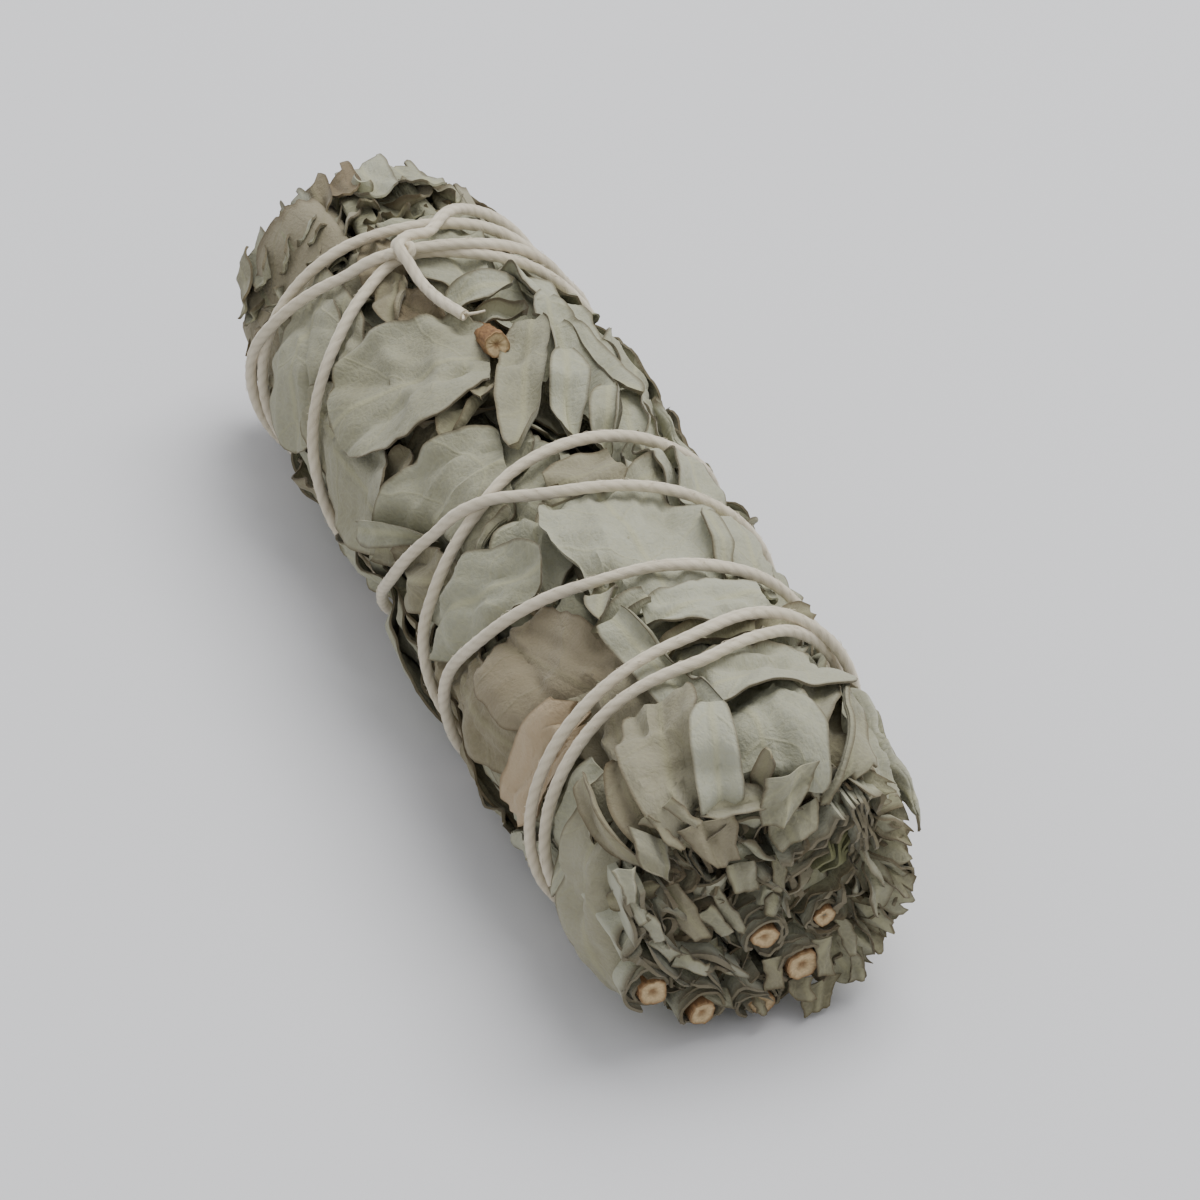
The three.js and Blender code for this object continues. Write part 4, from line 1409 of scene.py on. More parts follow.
# Leaves that face the camera, listed from the lowest up; the solids have the largest.
FACING_LEAVES: tuple[Leaf, ...] = (
    # far end
    Leaf(-49, -30, 183, 19, 12, 501, warm=0.3, tint=0.4),
    Leaf(-53, 14, 176, 24, 12, 502, tint=0.7, wave=0.5),
    Leaf(-46, 2, 186, 28, 11, 31, tint=0.55),
    Leaf(-46, -52, 182, 26, 11, 45, lift=0.4, warm=0.15),
    Leaf(-47, -78, 184, 19, 10, 530, warm=0.2),
    Leaf(-40, -71, -63, 19, 12, 506, tint=0.62, warm=0.1, base=0.3, point=0.4),
    Leaf(-44, -20, 168, 12, 6, 507, warm=0.6, tint=0.1),
    Leaf(-33, -19, 20, 11, 5, 531, warm=0.75, tint=0.0),
    Leaf(-36, -24, -30, 9, 5, 532, warm=0.4, tint=0.3, fold=0.3),
    Leaf(-28, 14, 8, 15, 6, 533, tint=0.8, base=0.25, curl=0.6),
    Leaf(-31, 3, 84, 7.5, 3.6, 508, tint=0.85, base=0.2, curl=1.1, lift=0.9, point=0.3),
    Leaf(-27, 4, 66, 7, 3.4, 509, tint=0.7, base=0.25, curl=1.0, roll=160, point=0.3),
    # pocket between the two large leaves; their low tints are painted shade of the pocket
    Leaf(-13, -48, -80, 12, 6, 534, tint=0.15, warm=0.35, fold=0.3),
    Leaf(-12, -66, -70, 11, 5, 535, tint=0.1, warm=0.4, curl=1.0),
    Leaf(-15.5, -21, -75, 14, 9, 517, tint=-0.1, warm=0.4, curl=1.3),
    Leaf(-11.5, -27, -60, 8, 4.5, 514, tint=0.2, warm=0.2, fold=0.3),
    Leaf(-13.5, -16, -20, 7, 4, 536, tint=0.1, warm=0.3, curl=1.0),
    # upper middle, narrow ridged leaves
    Leaf(-27, 30, 10, 22, 7, 511, tint=0.8, wave=0.5),
    Leaf(-8, 34, 4, 24, 7, 516, tint=0.8, fold=0.2),
    Leaf(-20, 20, -6, 16, 5, 510, tint=0.85, curl=0.9),
    Leaf(-3, 27, -10, 15, 5, 515, tint=0.75, curl=0.9, fold=0.25),
    Leaf(-14, 27, 12, 15, 4.4, 512, tint=0.8, curl=1.0),
    Leaf(-11, 18, 2, 19, 4.6, 537, tint=0.85, curl=1.0, fold=0.2),
    Leaf(-16, 10, -8, 11, 4, 513, tint=0.85, curl=1.0, roll=150),
    Leaf(-8, 8, -16, 14, 4.4, 538, tint=0.8, curl=0.9),
    Leaf(-2, 15, -14, 9, 4, 539, tint=0.7, curl=0.8, fold=0.3),
    Leaf(-23, -76, 0, 25, 13, 540, warm=0.15, base=0.3, point=0.2, lift=0.9),
    Leaf(-3.0, -54, -103, 20.5, 15.5, 46, base=0.12, point=0.2, lift=0.6, warm=0.05),
    Leaf(-5, -79, 26, 14, 3.4, 541, tint=0.3, warm=0.25, curl=0.9, base=0.25),
    Leaf(-7, -73, 29, 14, 3.2, 542, tint=0.55, curl=1.0, base=0.25, fold=0.25),
    Leaf(-22.3, -38, -109, 21, 18.5, 44, warm=0.08, lift=0.9, base=0.2, point=0.36, wave=0.3),
    Leaf(-10.5, -5, -24, 22, 6.0, 24, warm=0.12, roll=110, base=0.25, point=0.45),
    Leaf(4.5, 22, -20, 11, 4.5, 543, tint=0.75, fold=0.3),
    Leaf(9, 14, -60, 9, 4, 544, tint=0.6, curl=1.0, warm=0.1),
    Leaf(8, 30, 5, 16, 6, 545, tint=0.8),
    Leaf(6.4, -4, -86, 8.6, 7.6, 518, warm=0.35, tint=0.45, curl=0.8, base=0.16, point=0.3),
    Leaf(10, -20, -50, 7, 3.4, 546, warm=0.2, tint=0.4, curl=0.9),
    # middle
    Leaf(7, -50, -70, 13, 6, 547, tint=0.35, warm=0.15, fold=0.3),
    Leaf(3, -72, 30, 18, 8, 521, tint=0.25, warm=0.3),
    Leaf(16, -38, -40, 13, 10, 519, tint=0.62, base=0.2, point=0.3),
    Leaf(14, 38, 186, 28, 8, 520, tint=0.8),
    Leaf(24, -20, -10, 14, 4, 548, tint=0.4, warm=0.25, curl=0.9, fold=0.25),
    Leaf(19.8, -1, 182, 20, 17.5, 26, tint=0.82, roll=110, base=0.14, point=0.16, wave=0.35),
    Leaf(23.5, 25, 4, 11, 2.6, 549, tint=0.7, curl=0.6),
    Leaf(24, -82, 5, 32, 9.5, 49, warm=0.45, tint=0.1, base=0.2, point=0.3),
    Leaf(29.5, -50, 201, 19.5, 14, 48, warm=0.65, tint=0.4, base=0.14, point=0.18, ragged=0.12, lift=0.8),
    Leaf(13.3, -58, 58, 21, 10, 47, tint=0.62, lift=1.0, roll=70, roll_side=-1, base=0.3, point=0.36),
    Leaf(34.5, 34, -60, 12, 3.4, 550, tint=0.2, warm=0.3, curl=1.0),
    Leaf(36.3, 4, -84, 14, 3.6, 551, tint=0.2, warm=0.2, curl=0.9),
    Leaf(32.3, 8, -83, 14.5, 7.2, 27, tint=1.0, curl=0.7, point=0.36, base=0.25, lift=0.8),
    Leaf(31.6, -20, -80, 7, 3.2, 522, tint=0.6, fold=0.3, base=0.2, curl=1.0),
    Leaf(28.5, -22, -20, 8, 3.2, 552, curl=1.0, warm=0.1),
    # towards the near end
    Leaf(44.5, -43, -14, 15, 12.5, 523, warm=0.45, tint=0.55, base=0.14, point=0.26, lift=0.9),
    Leaf(55, 22, -8, 20, 7, 524, tint=0.3, warm=0.25, wave=0.8, fold=0.25),
    Leaf(54, 32, -14, 18, 5, 553, tint=0.25, warm=0.3, curl=1.1),
    Leaf(52, 12, -40, 13, 5, 525, tint=0.35, warm=0.15, fold=-0.3, wave=0.7),
    Leaf(51, 27, -30, 12, 3.6, 554, warm=0.2, curl=1.2),
    Leaf(58, 38, -6, 26, 6, 526, roll=160, roll_side=-1, warm=0.15),
    Leaf(51, 3, -60, 9, 3.4, 555, tint=0.6, curl=1.0),
    Leaf(46.3, -78, -93, 16, 7, 50, tint=0.6, base=0.12, point=0.2),
    Leaf(53.4, -89, -84, 30, 8, 51, warm=0.25, tint=0.6, base=0.16, point=0.3),
    Leaf(56, -50, -20, 14, 4, 527, warm=0.5, tint=0.35, curl=0.9),
    Leaf(53, -60, -10, 12, 4, 556, warm=0.4, tint=0.4, fold=0.3),
    Leaf(52.0, 3, 4, 17.5, 13.5, 30, tint=0.72, base=0.25, point=0.16),
    Leaf(
        44.6, 15, -83, 17.5, 10.5, 28, curl=0.8, tint=0.85, warm=0.05, point=0.22, base=0.14, wave=0.6,
        lift=1.1,
    ),
    Leaf(42.8, -16, 13, 20.5, 5.4, 29, tint=0.85, lift=0.9, base=0.2, point=0.3, fold=0.2),
    Leaf(52.8, -31, -19, 16, 9.5, 52, curl=0.5, warm=0.34, tint=0.6, base=0.12, point=0.34, lift=0.7),
    Leaf(57.0, -17, -22, 13, 5.0, 529, tint=1.15, wave=0.6, base=0.2, point=0.12, ragged=0.2, lift=0.8),
)

# Short torn tips that stand out round the far end, where they show.
FAR_TIPS: tuple[Leaf, ...] = tuple(
    Leaf(
        s, f, a, length, breadth, seed, lift=lift, tint=tint, warm=warm, curl=0.7, base=0.2, point=0.12,
        ragged=0.14, step=0.4,
    )
    for s, f, a, length, breadth, seed, lift, tint, warm in (
        (-60.0, 16, 182, 12, 5.0, 567, 1.8, 0.6, 0.0),
        (-62.0, -2, 178, 12, 5.5, 560, 2.8, 0.9, 0.0),
        (-63.5, -14, 186, 9, 4.2, 561, 2.8, 0.1, 0.85),
        (-62.0, -26, 176, 9, 4.0, 562, 2.2, 0.2, 0.6),
        (-60.5, -38, 186, 11, 5.5, 563, 1.8, 0.8, 0.0),
        (-60.5, -50, 178, 12, 5.0, 564, 1.8, 0.5, 0.1),
        (-61.5, -64, 184, 11, 5.0, 565, 1.6, 0.4, 0.0),
        (-62.5, -78, 178, 11, 4.6, 566, 1.4, 0.3, 0.2),
    )
)

# Sides that follow a rule: middle angle, width in degrees, seed, layers, rows.
RULED_SIDES: tuple[tuple[float, float, int, int, int], ...] = (
    (45, 42, 71, 2, 3), (93, 44, 72, 2, 3), (139, 36, 73, 2, 2), (190, 50, 74, 2, 2), (-121, 26, 75, 1, 3),
)
BROWNED_FROM = -115   # leaves of this angle and below are darker and browner

UNDERSIDE_LEAF = Leaf(-4, 180, 3, 27, 15.5, seed=76)
BROWNED_LEAF = Leaf(37, -72, 76, 18, 6.6, seed=61, warm=0.2, ragged=0.16, base=0.25, point=0.14, step=0.4)

GOLDEN = 0.618034         # ratios that spread numbered leaves evenly, along the bunch
GOLDEN_SECOND = 0.754878  # and round it
GOLDEN_TURN = 137.508     # the same as an angle in degrees


def ruled_leaves(centre: float, wide: float, seed: int, layers: int, rows: int) -> list[Leaf]:
    """Leaves of a side in rows along the bunch, as the solids have them.

    Args:
        centre: middle angle of the side.
        wide: its width in degrees.
        seed: seed of its draws.
        layers: how many layers of leaves it has.
        rows: how its leaves are spaced, 2 or 3 in the first layer.

    Returns:
        The leaves from the lowest up.
    """
    draw = seeded_draws(seed)
    stations = ((-28, 30), (-44, 4, 46)) if rows == 2 else ((-32, 6, 44), (-46, -14, 24))
    out = []
    for lay in range(layers):
        for k, s in enumerate(stations[lay % 2]):
            at = s + (draw() - 0.5) * 8
            f = centre + (draw() - 0.5) * wide * 0.45
            a = (180 if s < 0 else 0) + (draw() - 0.5) * 44
            size = 33 + draw() * 9, 11 + draw() * 4.5
            lift = 0.4 + draw() * 1.2
            curl = 0.2 + draw() * 0.5
            look = dict(tint=0.2, warm=0.4) if centre < BROWNED_FROM else {}
            own = seed * 10 + lay * 4 + k
            out.append(Leaf(at, f, a, *size, seed=own, lift=lift * 0.7, curl=curl, **look))
    return out


def even_share(k: int, start: float, ratio: float) -> float:
    """Share from 0 to 1 of number k in a row that is spread evenly, however long it is."""
    return (start + k * ratio) % 1.0


def filler_leaves(count: int) -> list[Leaf]:
    """Leaves that fill the bunch under the ones that show, spread evenly by a rule.

    Args:
        count: how many.

    Returns:
        The leaves.
    """
    rnd = np.random.RandomState(5)
    out = []
    for k in range(count):
        s = -52 + 104 * even_share(k, 0.5, GOLDEN)
        f = 360 * even_share(k, 0.5, GOLDEN_SECOND)
        a = (180 if s < rnd.uniform(-20, 20) else 0) + rnd.uniform(-24, 24)
        out.append(Leaf(
            s, f, a, rnd.uniform(30, 46), rnd.uniform(11, 17), seed=2000 + k, lift=rnd.uniform(0.1, 0.6),
            curl=rnd.uniform(0.1, 0.5), bow=rnd.uniform(-2, 2), tint=rnd.uniform(0.2, 0.7),
            warm=max(0.0, rnd.uniform(-0.5, 0.45)), step=1.1, point=rnd.uniform(0.6, 0.9),
        ))
    return out


def end_tips(count: int) -> list[Leaf]:
    """Short leaves whose tips stand ragged round the far end, spread by a rule.

    Args:
        count: how many.

    Returns:
        The leaves.
    """
    rnd = np.random.RandomState(31)
    out = []
    for k in range(count):
        f = -180 + 360 * even_share(k, 0.2, GOLDEN)
        out.append(Leaf(
            -60.2 + rnd.uniform(-3.2, 2.4), f, 180 + rnd.uniform(-28, 28), rnd.uniform(11, 15),
            rnd.uniform(2.8, 5), seed=5000 + k, lift=rnd.uniform(0.4, 2.4), curl=rnd.uniform(0.3, 1.0),
            tint=rnd.uniform(0.3, 0.95), warm=max(0.0, rnd.uniform(-0.5, 0.85)), base=0.25,
            point=rnd.uniform(0.1, 0.3), ragged=0.14, step=0.4,
        ))
    return out


def hidden_side_leaves(count: int) -> list[Leaf]:
    """Smaller leaves on the sides that don't face the camera, spread by a rule.

    Args:
        count: how many.

    Returns:
        The leaves.
    """
    rnd = np.random.RandomState(8)
    out = []
    for k in range(count):
        s = -50 + 100 * even_share(k, 0.3, GOLDEN)
        f = 62 + 190 * even_share(k, 0.5, GOLDEN_SECOND)
        a = (180 if s < rnd.uniform(-20, 20) else 0) + rnd.uniform(-50, 50)
        kind = rnd.rand()
        out.append(Leaf(
            s, f, a, rnd.uniform(17, 31), rnd.uniform(8, 14), seed=4000 + k, lift=rnd.uniform(0.2, 0.8),
            curl=rnd.uniform(0.1, 0.6), bow=rnd.uniform(-2.5, 2.5), tint=rnd.uniform(0.35, 0.85),
            warm=max(0.0, rnd.uniform(-0.7, 0.5)), point=rnd.uniform(0.55, 0.95),
            fold=0.3 if kind < 0.15 else 0.0, roll=rnd.uniform(120, 210) if 0.15 < kind < 0.4 else 0.0,
            roll_side=1 if rnd.rand() < 0.5 else -1,
        ))
    return out


# Ends


class Crumple:
    """Common bend of everything that stands in a trimmed end, so that edges stay nested."""

    def __init__(self, seed: int, size: float = 1.0) -> None:
        """Draw the waves of the bend, larger or smaller by size.

        Args:
            seed: seed of the draws.
            size: factor of their height.
        """
        rnd = np.random.RandomState(seed)
        full = 2 * math.pi
        self.waves = [
            (length, 0.075 * size * length, rnd.uniform(0, full), rnd.uniform(0, 6.3), rnd.uniform(0, full))
            for length in (17.0, 11.0, 8.0, 6.0, 4.6, 3.7, 3.0)
        ]

    def __call__(self, y: Array, z: Array, share: Array) -> tuple[Array, Array]:
        """Bent places; share grows from 0 inside the bunch to 1 at the trimmed end.

        Args:
            y: distances from the axis.
            z: the same, upwards.
            share: how near to the trimmed end.

        Returns:
            The bent y and z.
        """
        dy, dz = 0.0, 0.0
        for length, size, way, phase, push in self.waves:
            wave = np.sin(
                2 * math.pi * (y * math.cos(way) + z * math.sin(way)) / length + phase + 0.9 * share,
            )
            dy = dy + size * wave * math.cos(push)
            dz = dz + size * wave * math.sin(push)
        grow = 0.6 + 0.4 * share
        return y + dy * grow, z + dz * grow


@dataclass(frozen=True)
class StemRod:
    """A stem: its cut end, its hidden end and its radius, from the bunch's axis."""

    node: str
    cut: Point
    hidden: Point
    radius: float

    def ends(self) -> tuple[Array, Array]:
        """Cut end and hidden end as points."""
        lift = np.array([0, 0, FORM.axis_z])
        return np.array(self.cut) + lift, np.array(self.hidden) + lift


STEMS: tuple[StemRod, ...] = (
    StemRod("stem_1", (60.5, -13.5, -9.0), (-40, -12.4, -8.6), 1.6),
    StemRod("stem_2", (61.0, -8.0, -13.0), (-44, -6.2, -11.4), 1.5),
    StemRod("stem_3", (60.5, -1.0, -14.0), (-40, 0.6, -12.4), 1.45),
    StemRod("stem_4", (60.5, -1.0, -5.0), (-46, -0.5, -4.0), 1.5),
    StemRod("stem_5", (60.5, 3.5, -10.0), (-42, 5.4, -10.4), 1.85),
    StemRod("stem_6", (60.0, 6.0, -4.5), (-38, 8.0, -4.6), 1.25),
    StemRod("stem_7", (-61.4, -0.6, 9.8), (38, 2.6, 9.0), 1.5),
    StemRod("stem_8", (-60.6, -8.6, 5.6), (36, -9.6, 4.2), 1.45),
)


SECTION_X = 50.0    # where the sprigs' shares of a trimmed end are read
STEM_ROOM = 1.1     # kept free round a stem
GREEN_ROOM = 3.4    # and round the middle of the green tuft


def face_node(y: float, z: float) -> str:
    """Sprig that a place on a trimmed end belongs to, by its distances from the axis.

    Args:
        y: sideways distance.
        z: upward distance.

    Returns:
        The node.
    """
    if math.hypot(y - FORM.hub_y, z - FORM.hub_z) < FORM.hub_r:
        return "leaves_middle"
    return sprig_at(SECTION_X, math.degrees(math.atan2(y, z)))


def add_end_sheet(
    shells: Shells, at: Array, ground: Array, height: Array, normal: Array,
    thick: float, spot: Array, look: Array,
) -> None:
    """Add a sheet that stands in a trimmed end to the sprig at its place.

    Args:
        shells: the pieces of the sprigs.
        at: middle of the sheet, from the axis.
        ground: grid (rows, columns, 3) that it is raised from.
        height: how far each point is raised.
        normal: direction in which it is raised.
        thick: thickness.
        spot: values as for Shell.add, on the grid.
        look: the same.
    """
    faces = []
    for lift in (thick, 0.0):
        p = ground + (height + lift)[..., None] * normal
        faces.append(np.stack([p[..., 0], p[..., 1], FORM.pressed(FORM.axis_z + p[..., 2])], -1))
    shells.setdefault(face_node(at[1], at[2]), Shell()).add_sheet(*faces, spot, look)


@dataclass(frozen=True)
class FacePlate:
    """A leaf, or a piece of one, that shows its face on the near end."""

    base: Point    # along the bunch, and two distances from its axis
    tip: Point
    breadth: float
    seed: int
    roll: float = 0.0        # turn about its own length in degrees; at 0 it faces along the bunch
    cup: float = 0.5         # height of its edges
    arch: float = 0.6        # height of its middle
    ruffle: float = 0.25     # waves of its edges
    fold: float = 0.0
    tint: float = 0.5
    warm: float = 0.1
    narrow: float = 0.25     # larger for a narrower base
    point: float = 0.35      # larger for a sharper tip
    ragged: float = 0.06
    thick: float = 0.28
    step: float = 0.32

    def add_to(self, shells: Shells) -> None:
        """Add the leaf to the piece of the sprig at its place.

        Args:
            shells: the pieces of the sprigs.
        """
        rnd = np.random.RandomState(self.seed)
        base, tip = np.array(self.base), np.array(self.tip)
        length = float(np.linalg.norm(tip - base))
        way = (tip - base) / length
        normal = np.array([1.0, 0, 0]) * math.copysign(1.0, base[0])
        normal = normal - way * float(way @ normal)
        normal /= np.linalg.norm(normal)
        side = np.cross(normal, way)
        turn = math.radians(self.roll)
        c, d = math.cos(turn), math.sin(turn)
        normal, side = normal * c - side * d, side * c + normal * d
        rows, cols = max(9, int(length / self.step)), max(7, int(self.breadth / self.step) | 1)
        v = np.sin(1.15 * np.linspace(-1, 1, cols))[None] / math.sin(1.15)
        torn = self.ragged * (1 + np.interp(v[0], np.linspace(-1, 1, 7), rnd.uniform(-1, 1, 7)))
        u = np.linspace(0, 1, rows)[:, None] * (1 - torn)[None]
        leaf = Leaf(0, 0, 0, length, self.breadth, base=self.narrow, point=self.point, fold=self.fold)
        knots = np.linspace(0, 1, 7)
        rough = 1 + np.where(v < 0, *(np.interp(u, knots, rnd.uniform(-0.18, 0.14, 7)) for _ in (0, 1)))
        edge = np.maximum(0.05, 0.5 * self.breadth * LeafPile.width(leaf, u) * rough)
        cross, over = LeafPile.turned_margin(leaf, v * edge, edge)
        h = self.cup * np.abs(v) ** 2 + self.arch * 4 * u * (1 - u) + over
        waves = np.sin(length * u * rnd.uniform(0.9, 1.5) + 2 * np.sign(v) + rnd.uniform(0, 6))
        h = h + self.ruffle * np.abs(v) ** 2 * waves
        h = h + LeafPile.wrinkles(length * u, cross, rnd)
        ground = base + (length * u)[..., None] * way + cross[..., None] * side
        inset = np.minimum(edge * (1 - np.abs(v)), (1 - torn - u) * length)
        own = np.full(h.shape, 7.0 * self.seed % 89)
        spot = np.stack([length * u + 40 * rnd.rand(), cross, own], -1)
        look = look_values(self.tint, self.warm, np.clip(1 - inset / RIM_MM, 0, 1))
        add_end_sheet(shells, 0.5 * (base + tip), ground, h, normal, self.thick, spot, look)


@dataclass(frozen=True)
class TornPlate:
    """A torn or folded piece of leaf that hangs in the near end like a shingle."""

    y: float                 # its middle on the end
    z: float
    height: float            # from its inner to its outer margin
    breadth: float
    seed: int
    turn: float = 0.0        # way that it hangs, in degrees from straight down towards +y
    slant: float = 0.0       # turn of its breadth from square to that
    taper: float = 0.75      # breadth of its outer margin over that of its inner one
    inner: float = 58.8      # place of its inner margin along the bunch
    rise: float = 1.8        # how much further out its outer margin stands
    hem: float = 0.0         # turn of its outer margin in degrees; negative turns it inwards
    tint: float = 0.5
    warm: float = 0.1
    arch: float = 0.5
    thick: float = 0.26
    step: float = 0.28
    hem_radius: float = 0.42

    def corners(self) -> tuple[Array, ...]:
        """Work out its inner left, inner right, outer right and outer left corners.

        Returns:
            The four corners as (x, y, z) from the axis, in millimetres.
        """
        hang, across = math.radians(self.turn), math.radians(self.turn + self.slant)
        down = 0.5 * self.height * np.array([math.sin(hang), -math.cos(hang)])
        side = 0.5 * self.breadth * np.array([math.cos(across), math.sin(across)])
        middle = np.array([self.y, self.z])
        outer = self.inner + self.rise
        return tuple(
            np.array([x, *(middle + down * fall + side * share)])
            for x, fall, share in (
                (self.inner, -1, -1), (self.inner, -1, 1), (outer, 1, self.taper), (outer, 1, -self.taper),
            )
        )

    def add_to(self, shells: Shells) -> None:
        """Add the plate to the piece of the sprig at its place.

        Args:
            shells: the pieces of the sprigs.
        """
        rnd = np.random.RandomState(self.seed)
        p00, p01, p11, p10 = self.corners()
        height = 0.5 * float(np.linalg.norm(p10 - p00) + np.linalg.norm(p11 - p01))
        breadth = 0.5 * float(np.linalg.norm(p01 - p00) + np.linalg.norm(p11 - p10))
        normal = np.cross(p11 - p00, p10 - p01)
        normal *= math.copysign(1.0, normal[0]) / np.linalg.norm(normal)
        rows, cols = max(9, int(height / self.step)), max(9, int(breadth / self.step))
        u, v = np.linspace(0, 1, rows)[:, None], np.linspace(0, 1, cols)[None]
        left, right = (self.tear(u, height, rnd) / breadth for _ in (0, 1))
        low = self.tear(v, breadth, rnd) / height
        v = left + (1 - left - right) * v
        u = u * (1 - 0.7 * low)
        along, across = u * height, (v - 0.5) * breadth
        half = 0.5 * height
        leaf = Leaf(0, 0, 0, height, breadth, roll=abs(self.hem))
        edge = half * (1 - 0.7 * low)
        course, gain = LeafPile.turned_margin(leaf, along - half, edge, self.hem_radius)
        gain = gain * math.copysign(1.0, self.hem)
        h = gain + self.arch * np.sin(math.pi * np.clip(v, 0, 1)) * u
        h = h + LeafPile.wrinkles(along, across, rnd)
        course = (course + half) / height
        ground = ((1 - course) * (1 - v))[..., None] * p00 + ((1 - course) * v)[..., None] * p01
        ground = ground + (course * v)[..., None] * p11 + (course * (1 - v))[..., None] * p10
        turn = rnd.uniform(-0.8, 0.8)
        off = rnd.uniform(-0.3, 0.3) * breadth
        spot = np.stack([
            along * math.cos(turn) - across * math.sin(turn) + 40 * rnd.rand(),
            across * math.cos(turn) + along * math.sin(turn) - off, np.full(h.shape, 7.0 * self.seed % 89),
        ], -1)
        share = np.linspace(0, 1, cols)[None]
        inset = np.minimum(breadth * np.minimum(share, 1 - share), (1 - u / np.max(u, axis=0)[None]) * height)
        look = look_values(self.tint, self.warm, np.clip(1 - inset / TORN_RIM_MM, 0, 1))
        middle = (p00 + p01 + p11 + p10) / 4
        add_end_sheet(shells, middle, ground, h, normal, self.thick, spot, look)

    @staticmethod
    def tear(at: Array, length: float, rnd: Draws) -> Array:
        """How far a torn margin is set back at shares of its length, in millimetres.

        Args:
            at: shares of its length.
            length: its length.
            rnd: seeded draws.

        Returns:
            The distances.
        """
        out = 0.0
        for spacing, size in ((2.4, 0.8), (0.7, 0.22)):
            knots = np.linspace(0, 1, max(3, int(length / spacing) + 2))
            out = out + np.interp(at, knots, rnd.uniform(0, size, len(knots)))
        return out


# Torn pieces on the near end, placed from the photograph to the nearest half millimetre.
TORN_PLATES: tuple[TornPlate, ...] = (
    # above the stems, from the brown veined piece to the right
    TornPlate(-6.5, 8.5, 5.5, 7.5, 633, turn=20, slant=-10, taper=0.45, hem=-50, tint=0.4, warm=0.5),
    TornPlate(0.5, 12.5, 6, 8, 635, turn=-25, slant=35, taper=0.45, hem=40, tint=0.45, warm=0.12),
    TornPlate(2.5, 8, 3, 7.5, 636, slant=25, inner=58.5, hem=-60, tint=0.45, warm=0.15),
    TornPlate(4, 5, 2.5, 5, 637, slant=30, inner=58, hem=90, tint=0.4, warm=0.2),
    # left, with rolled margins
    TornPlate(-13.5, 8, 4.5, 8, 623, slant=-35, taper=0.5, inner=58, rise=2.5, hem=120, tint=0.52, warm=0.22),
    TornPlate(-10, 0, 7.5, 4, 620, turn=30, slant=-15, rise=2, hem=70, tint=0.38, warm=0.38),
    TornPlate(-12, 10.5, 5, 2.5, 624, turn=50, taper=0.4, inner=57.5, rise=2.5, hem=60, tint=0.4, warm=0.35),
    TornPlate(-9.5, 12, 4, 2.5, 625, turn=50, taper=0.4, inner=56.5, rise=2, hem=-60, tint=0.45, warm=0.3),
    # middle, narrow and upright
    TornPlate(-3.5, 3, 3, 4.5, 621, hem=50, tint=0.55, warm=0.2),
    TornPlate(-5.5, 0, 7, 2.5, 622, turn=30, inner=59, rise=2, hem=90, warm=0.15),
    TornPlate(-6.5, -1.5, 4, 3, 626, turn=35, inner=59.5, rise=1.5, hem=-90, tint=0.42),
    TornPlate(0.5, 2.5, 4, 3, 614, inner=59, rise=1.5, hem=-80, tint=0.35, warm=0.2),
    TornPlate(0, -1, 3, 3, 615, turn=-25, inner=59.5, rise=1, hem=70, tint=0.42, warm=0.15),
    TornPlate(10, 0, 6.5, 2.5, 627, inner=58, rise=1, tint=0.7),
    # below, between and under the stems
    TornPlate(
        5.5, -15.5, 4, 6, 610, turn=-15, slant=30, taper=0.6, inner=60, rise=1.5, hem=40, tint=0.1, warm=0.2,
    ),
    TornPlate(3.5, -13.5, 2.5, 3.5, 611, inner=60, rise=1.5, hem=60, tint=0.3, warm=0.25),
    TornPlate(8.5, -8, 4, 2.5, 612, inner=59, rise=1.5, hem=80, tint=0.42, warm=0.15),
    TornPlate(10, -12.5, 4, 3, 613, inner=59, rise=1.5, tint=0.36, warm=0.15),
    TornPlate(0, -10.5, 3.5, 3.5, 616, inner=59.5, rise=1.5, hem=90, tint=0.3, warm=0.3),
    TornPlate(-6, -12, 2, 5, 617, slant=-25, inner=59.5, rise=1.5, hem=60, tint=0.45, warm=0.15),
    TornPlate(-1.5, -14.5, 2, 3.5, 618, turn=-30, inner=60, rise=1.5, tint=0.25, warm=0.3),
    TornPlate(6, -9.5, 4.5, 3.5, 619, inner=60, rise=1, hem=60, tint=0.36, warm=0.2),
)

# Paler curled scraps along the outer course of ruffles: middle on the end, way that each hangs.
CURLED_SCRAPS: tuple[TornPlate, ...] = tuple(
    TornPlate(y, z, 4.0, 3.0, 651 + k, turn=turn, inner=59.8, rise=1.4, hem=110 if k % 2 else -90, tint=0.72)
    for k, (y, z, turn) in enumerate((
        (-17.0, 6.0, 5), (-15.5, 3.0, 20), (-14.0, 0.0, 35), (-12.5, -3.0, 40), (-9.0, -6.0, 60),
        (-4.5, -8.0, 70),
    ))
)

